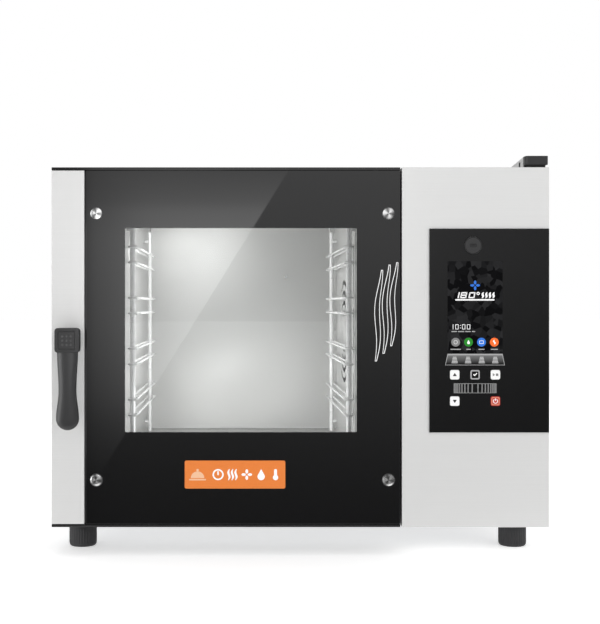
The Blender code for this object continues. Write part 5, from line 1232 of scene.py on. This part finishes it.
def racks():
    """Welded wire racks: posts, long hairpins that carry the pans, and studs to the wall."""
    _, y_span, z_span = spans("rack_left")
    centre = middle(spans("inner_glass")[0])
    posts = (-264 * MM, 136 * MM)
    for name, side in (("rack_left", -1), ("rack_right", 1)):
        x = centre + side * RACK_REACH
        parts = []
        for py, radius in zip(posts, (5 * MM, 4 * MM)):
            profile = [
                (0, z_span[0]), (radius - 0.6 * MM, z_span[0]), (radius, z_span[0] + 0.8 * MM),
                (radius, z_span[1] - 0.8 * MM), (radius - 0.6 * MM, z_span[1]), (0, z_span[1]),
            ]
            parts.append((lathe("post", "z", (x, py, 0), profile, 32), "rack_wire"))
        loop_x = centre + side * LOOP_REACH
        for level in range(RACK_LEVELS):
            for rise in (0, LOOP_RISE):
                pz = RACK_LOWEST + RACK_PITCH * level + rise
                radius = 6.75 * MM
                outline = arc((loop_x, y_span[1] - 2 * MM - radius), radius, 0, 180, 12)
                outline += arc((loop_x, y_span[0] + 2 * MM + radius), radius, 180, 360, 12)
                parts.append(
                    (tube("hairpin", [(u, v, pz)
                    for u, v in outline], 4 * MM, closed=True), "rack_wire")
                )
                for py in posts:
                    parts.append((lathe("bead", "z", (loop_x - side * 5.4 * MM, py, pz - 3.4 * MM),
                                 [
                                     (0, 0), (1.6 * MM, 0.6 * MM), (2.6 * MM, 3.4 * MM),
                                     (1.6 * MM, 6.2 * MM), (0, 6.8 * MM),
                                 ],
                                 16),
                                 "rack_wire"))
        wall = centre + side * WALL_REACH
        for py in posts:
            for pz in (z_span[0] + 20 * MM, z_span[1] - 20 * MM):
                parts.append((tube("stud", [(x, py, pz), (wall, py, pz)], 6.4 * MM), "rack_wire"))
        piece(name + "_wires", parts, "cabinet", [name])


def machinery():
    """What the covers hide: each CAD shape with its edges rolled, in a finish of its own."""
    looks = {
        "fan_wheel": ("fan", "polished_steel", 0.25), "fan_motor": ("cabinet", "motor_paint", 1.2),
        "heating_element": ("cabinet", "zinc_steel", 0.0), "water_pipe": ("cabinet", "polished_steel", 0.0),
        "water_valve": ("cabinet", "brass", 0.5), "temperature_probe": ("cabinet", "polished_steel", 0.2),
        "drain_pipe": ("cabinet", "polished_steel", 0.2), "flue_pipe": ("cabinet", "polished_steel", 0.2),
        "flue_damper": ("damper", "polished_steel", 0.15), "latch_keeper": ("cabinet", "zinc_steel", 0.4),
        "cooling_fan_frame": ("cabinet", "black_plastic", 0.5),
        "cooling_rotor": ("cooling_fan_rotor", "black_plastic", 0.3),
        "cable_gland": ("cabinet", "black_plastic", 0.4),
    }
    for name, (body, key, edge) in looks.items():
        rolled(name + "_unit", name, body, key, key, edge * MM)


# ---------------------------------------------------------------- stage, light and camera

CAMERA = (-0.104, -2.364, 0.4272)
CARD_Y = -0.62
CARD_LEVELS = [
    (0.054, 0.14), (0.12, 0.18), (0.22, 0.30), (0.32, 0.45), (0.43, 0.72), (0.53, 0.98), (0.60, 1.08),
    (0.668, 1.20),
]
CARD_FIELD = [
    (0.13, 0.0), (0.21, 0.5), (0.30, 1.5), (0.40, 2.1), (0.50, 2.2), (0.575, 1.7), (0.61, 0.85),
    (0.668, 0.1),
]
CARD_ACROSS = [
    (-0.60, 0.3), (-0.40, 0.4), (-0.345, 0.88), (-0.25, 1.0), (0.165, 1.0), (0.215, 0.55), (0.42, 0.40),
]
FIELD_ACROSS = [(-0.48, 0.0), (-0.40, 0.08), (-0.34, 0.42), (-0.15, 1.0), (0.20, 1.0)]
FIELD_EDGE = [(-0.0164, 0.664), (-0.365, 0.102)]
SIDE_CARD = ((-0.90, -1.00), (-1.35, -0.45), (0.05, 0.65))
SIDE_CARD_LEVEL = 4.5
ROOM_LOW = 0.35
ROOM_HIGH = 0.64
KEY_POWER = 8.7
FILL_POWER = 15.5
BACK_POWER = 15.0
TOP_POWER = 13.0
CAVITY_POWER = 1.6
WALL_LIGHT = (-0.135, -0.10, 0.39)
WALL_SHARE = 0.36


def area(name, place, aim, size, power, tall=None, spread=180.0):
    data = bpy.data.lights.new(name, "AREA")
    data.shape = "RECTANGLE"
    data.size = size
    data.size_y = tall or size
    data.energy = power
    data.spread = math.radians(spread)
    lamp = bpy.data.objects.new(name, data)
    lamp.location = place
    lamp.rotation_euler = (Vector(aim) - Vector(place)).to_track_quat("-Z", "Y").to_euler()
    lamp.visible_camera = False
    lamp.visible_transmission = False
    bpy.context.scene.collection.objects.link(lamp)
    return lamp


def lit_card(name, near, far, z):
    """A standing lit card that only mirrors see. Returns its glow's node tree and strength socket."""
    mesh = bpy.data.meshes.new(name)
    corners = [(*near, z[0]), (*far, z[0]), (*far, z[1]), (*near, z[1])]
    mesh.from_pydata(corners, [], [(0, 1, 2, 3)])
    made = bpy.data.materials.new(name + "_glow")
    made.use_nodes = True
    tree = made.node_tree
    tree.nodes.clear()
    out = tree.nodes.new("ShaderNodeOutputMaterial")
    glow = add_node(tree, "ShaderNodeEmission")
    link(tree, glow.outputs[0], out.inputs["Surface"])
    mesh.materials.append(made)
    card = bpy.data.objects.new(name, mesh)
    bpy.context.scene.collection.objects.link(card)
    for ray in ("camera", "diffuse", "shadow", "transmission", "volume_scatter"):
        setattr(card, "visible_" + ray, False)
    return tree, glow.inputs["Strength"]


def reflection_card():
    """The card in front of the oven: darker low down, with a slanted bright field."""
    tree, strength = lit_card("reflection_card", (-0.62, CARD_Y), (0.75, CARD_Y), (0.003, 0.85))
    axes = own_place(tree)
    level = axes["Z"]
    eye = 2 * DOOR_FACE - CAMERA[1]
    share = (eye - CARD_Y) / (eye - DOOR_FACE)

    def seen(px, pz):
        """Where the card shows in a mirror at the door's face, for a place on that face."""
        return (CAMERA[0] + share * (px - CAMERA[0]), CAMERA[2] + share * (pz - CAMERA[2]))

    def combined(operation, first, second):
        return maths(tree, operation, first, second).outputs[0]

    base = curve_value(tree, level, [(seen(0, h)[1], v) for h, v in CARD_LEVELS])
    field = curve_value(tree, level, [(seen(0, h)[1], v) for h, v in CARD_FIELD])
    top, low = seen(*FIELD_EDGE[0]), seen(*FIELD_EDGE[1])
    slope = (top[0] - low[0]) / (top[1] - low[1])
    edge = combined("ADD", combined("MULTIPLY", level, slope), low[0] - slope * low[1])
    inside = combined("LESS_THAN", axes["X"], edge)
    fade = curve_value(tree, axes["X"], [(seen(h, 0)[0], v) for h, v in FIELD_ACROSS])
    across = curve_value(tree, axes["X"], [(seen(h, 0)[0], v) for h, v in CARD_ACROSS])
    lit = combined("MULTIPLY", combined("MULTIPLY", inside, fade), field)
    link(tree, combined("ADD", combined("MULTIPLY", base, across), lit), strength)


def curve_value(tree, source, points):
    """A smooth value over the source, through (place, value) points."""
    low, high = points[0][0], points[-1][0]
    most = max(value for _, value in points)
    node = tree.nodes.new("ShaderNodeFloatCurve")
    link(tree, ranged(tree, source, 0.0, 1.0, low, high), node.inputs["Value"])
    curve = node.mapping.curves[0]
    curve.points[0].location = (0.0, points[0][1] / most)
    curve.points[1].location = (1.0, points[-1][1] / most)
    for place, value in points[1:-1]:
        curve.points.new((place - low) / (high - low), value / most)
    for point in curve.points:
        point.handle_type = "AUTO_CLAMPED"
    node.mapping.update()
    return maths(tree, "MULTIPLY", node.outputs[0], float(most)).outputs[0]


def side_card():
    """The tall card to the left, which draws light down the left of whatever curves."""
    _, strength = lit_card("side_card", *SIDE_CARD)
    strength.default_value = SIDE_CARD_LEVEL


def stage():
    scene = bpy.context.scene
    floor_mesh = bpy.data.meshes.new("floor")
    reach = 30.0
    floor_mesh.from_pydata(
        [(-reach, -reach, 0), (reach, -reach, 0), (reach, reach, 0), (-reach, reach, 0)], [], [(0, 1, 2, 3)]
    )
    floor = bpy.data.objects.new("floor", floor_mesh)
    scene.collection.objects.link(floor)
    floor_mesh.materials.append(
        surface("pale_floor", (0.90, 0.90, 0.90), 0.7, grain=3.0, tint=0.002, bump=0.0, glow=0.55)
    )

    world = bpy.data.worlds.new("studio")
    scene.world = world
    world.use_nodes = True
    tree = world.node_tree
    background = tree.nodes["Background"]
    path = tree.nodes.new("ShaderNodeLightPath")
    place = tree.nodes.new("ShaderNodeTexCoord")
    split = tree.nodes.new("ShaderNodeSeparateXYZ")
    link(tree, place.outputs["Generated"], split.inputs[0])
    room = mixed(
        tree, ranged(tree, split.outputs["Z"], 0.0, 1.0, -0.15, 0.6), (ROOM_LOW,) * 3, (ROOM_HIGH,) * 3
    )
    final = mixed(tree, path.outputs["Is Camera Ray"], room, (1.0, 1.0, 1.0))
    link(tree, final, background.inputs["Color"])
    background.inputs["Strength"].default_value = 1.0

    reflection_card()
    side_card()
    area("key", (-1.9, -2.3, 1.0), (0, 0, 0.35), 1.0, KEY_POWER)
    area("fill", (2.0, -2.2, 1.2), (0, 0, 0.3), 1.6, FILL_POWER)
    area("back", (0.8, 2.6, 2.2), (0, 0, 0.3), 2.0, BACK_POWER)
    area("overhead", (0, 0.2, 2.8), (0, 0, 0), 2.4, TOP_POWER)
    ceiling = spans("cavity_liner")[2][1]
    area("cavity_top", (-0.22, -0.12, ceiling - 0.03), (-0.24, 0.12, 0.25), 0.22, CAVITY_POWER * 0.34, 0.20)
    area("cavity_low", (-0.11, -0.285, 0.20), (-0.11, 0.34, 0.20), 0.30, CAVITY_POWER * 0.30, 0.16)
    for side in (-1, 1):
        aim = (WALL_LIGHT[0] + side, *WALL_LIGHT[1:])
        lamp = area(f"wall_{side}", WALL_LIGHT, aim, 0.34, CAVITY_POWER * WALL_SHARE, 0.30, 130.0)
        lamp.visible_glossy = False

    scene.view_settings.view_transform = "Standard"
    scene.view_settings.look = "None"
    camera = bpy.data.cameras.new("camera")
    camera.sensor_width = 36.0
    camera.lens = 67.57
    camera.shift_x = 0.0971
    camera.shift_y = -0.0103
    holder = bpy.data.objects.new("camera", camera)
    holder.location = CAMERA
    holder.rotation_euler = (math.radians(90), 0, 0)
    scene.collection.objects.link(holder)
    scene.camera = holder


door_glass()
door_bolts()
door_motifs()
door_parts()
handle()
control_column()
side_panels()
covers()
vent()
feet()
cavity()
racks()
machinery()
stage()
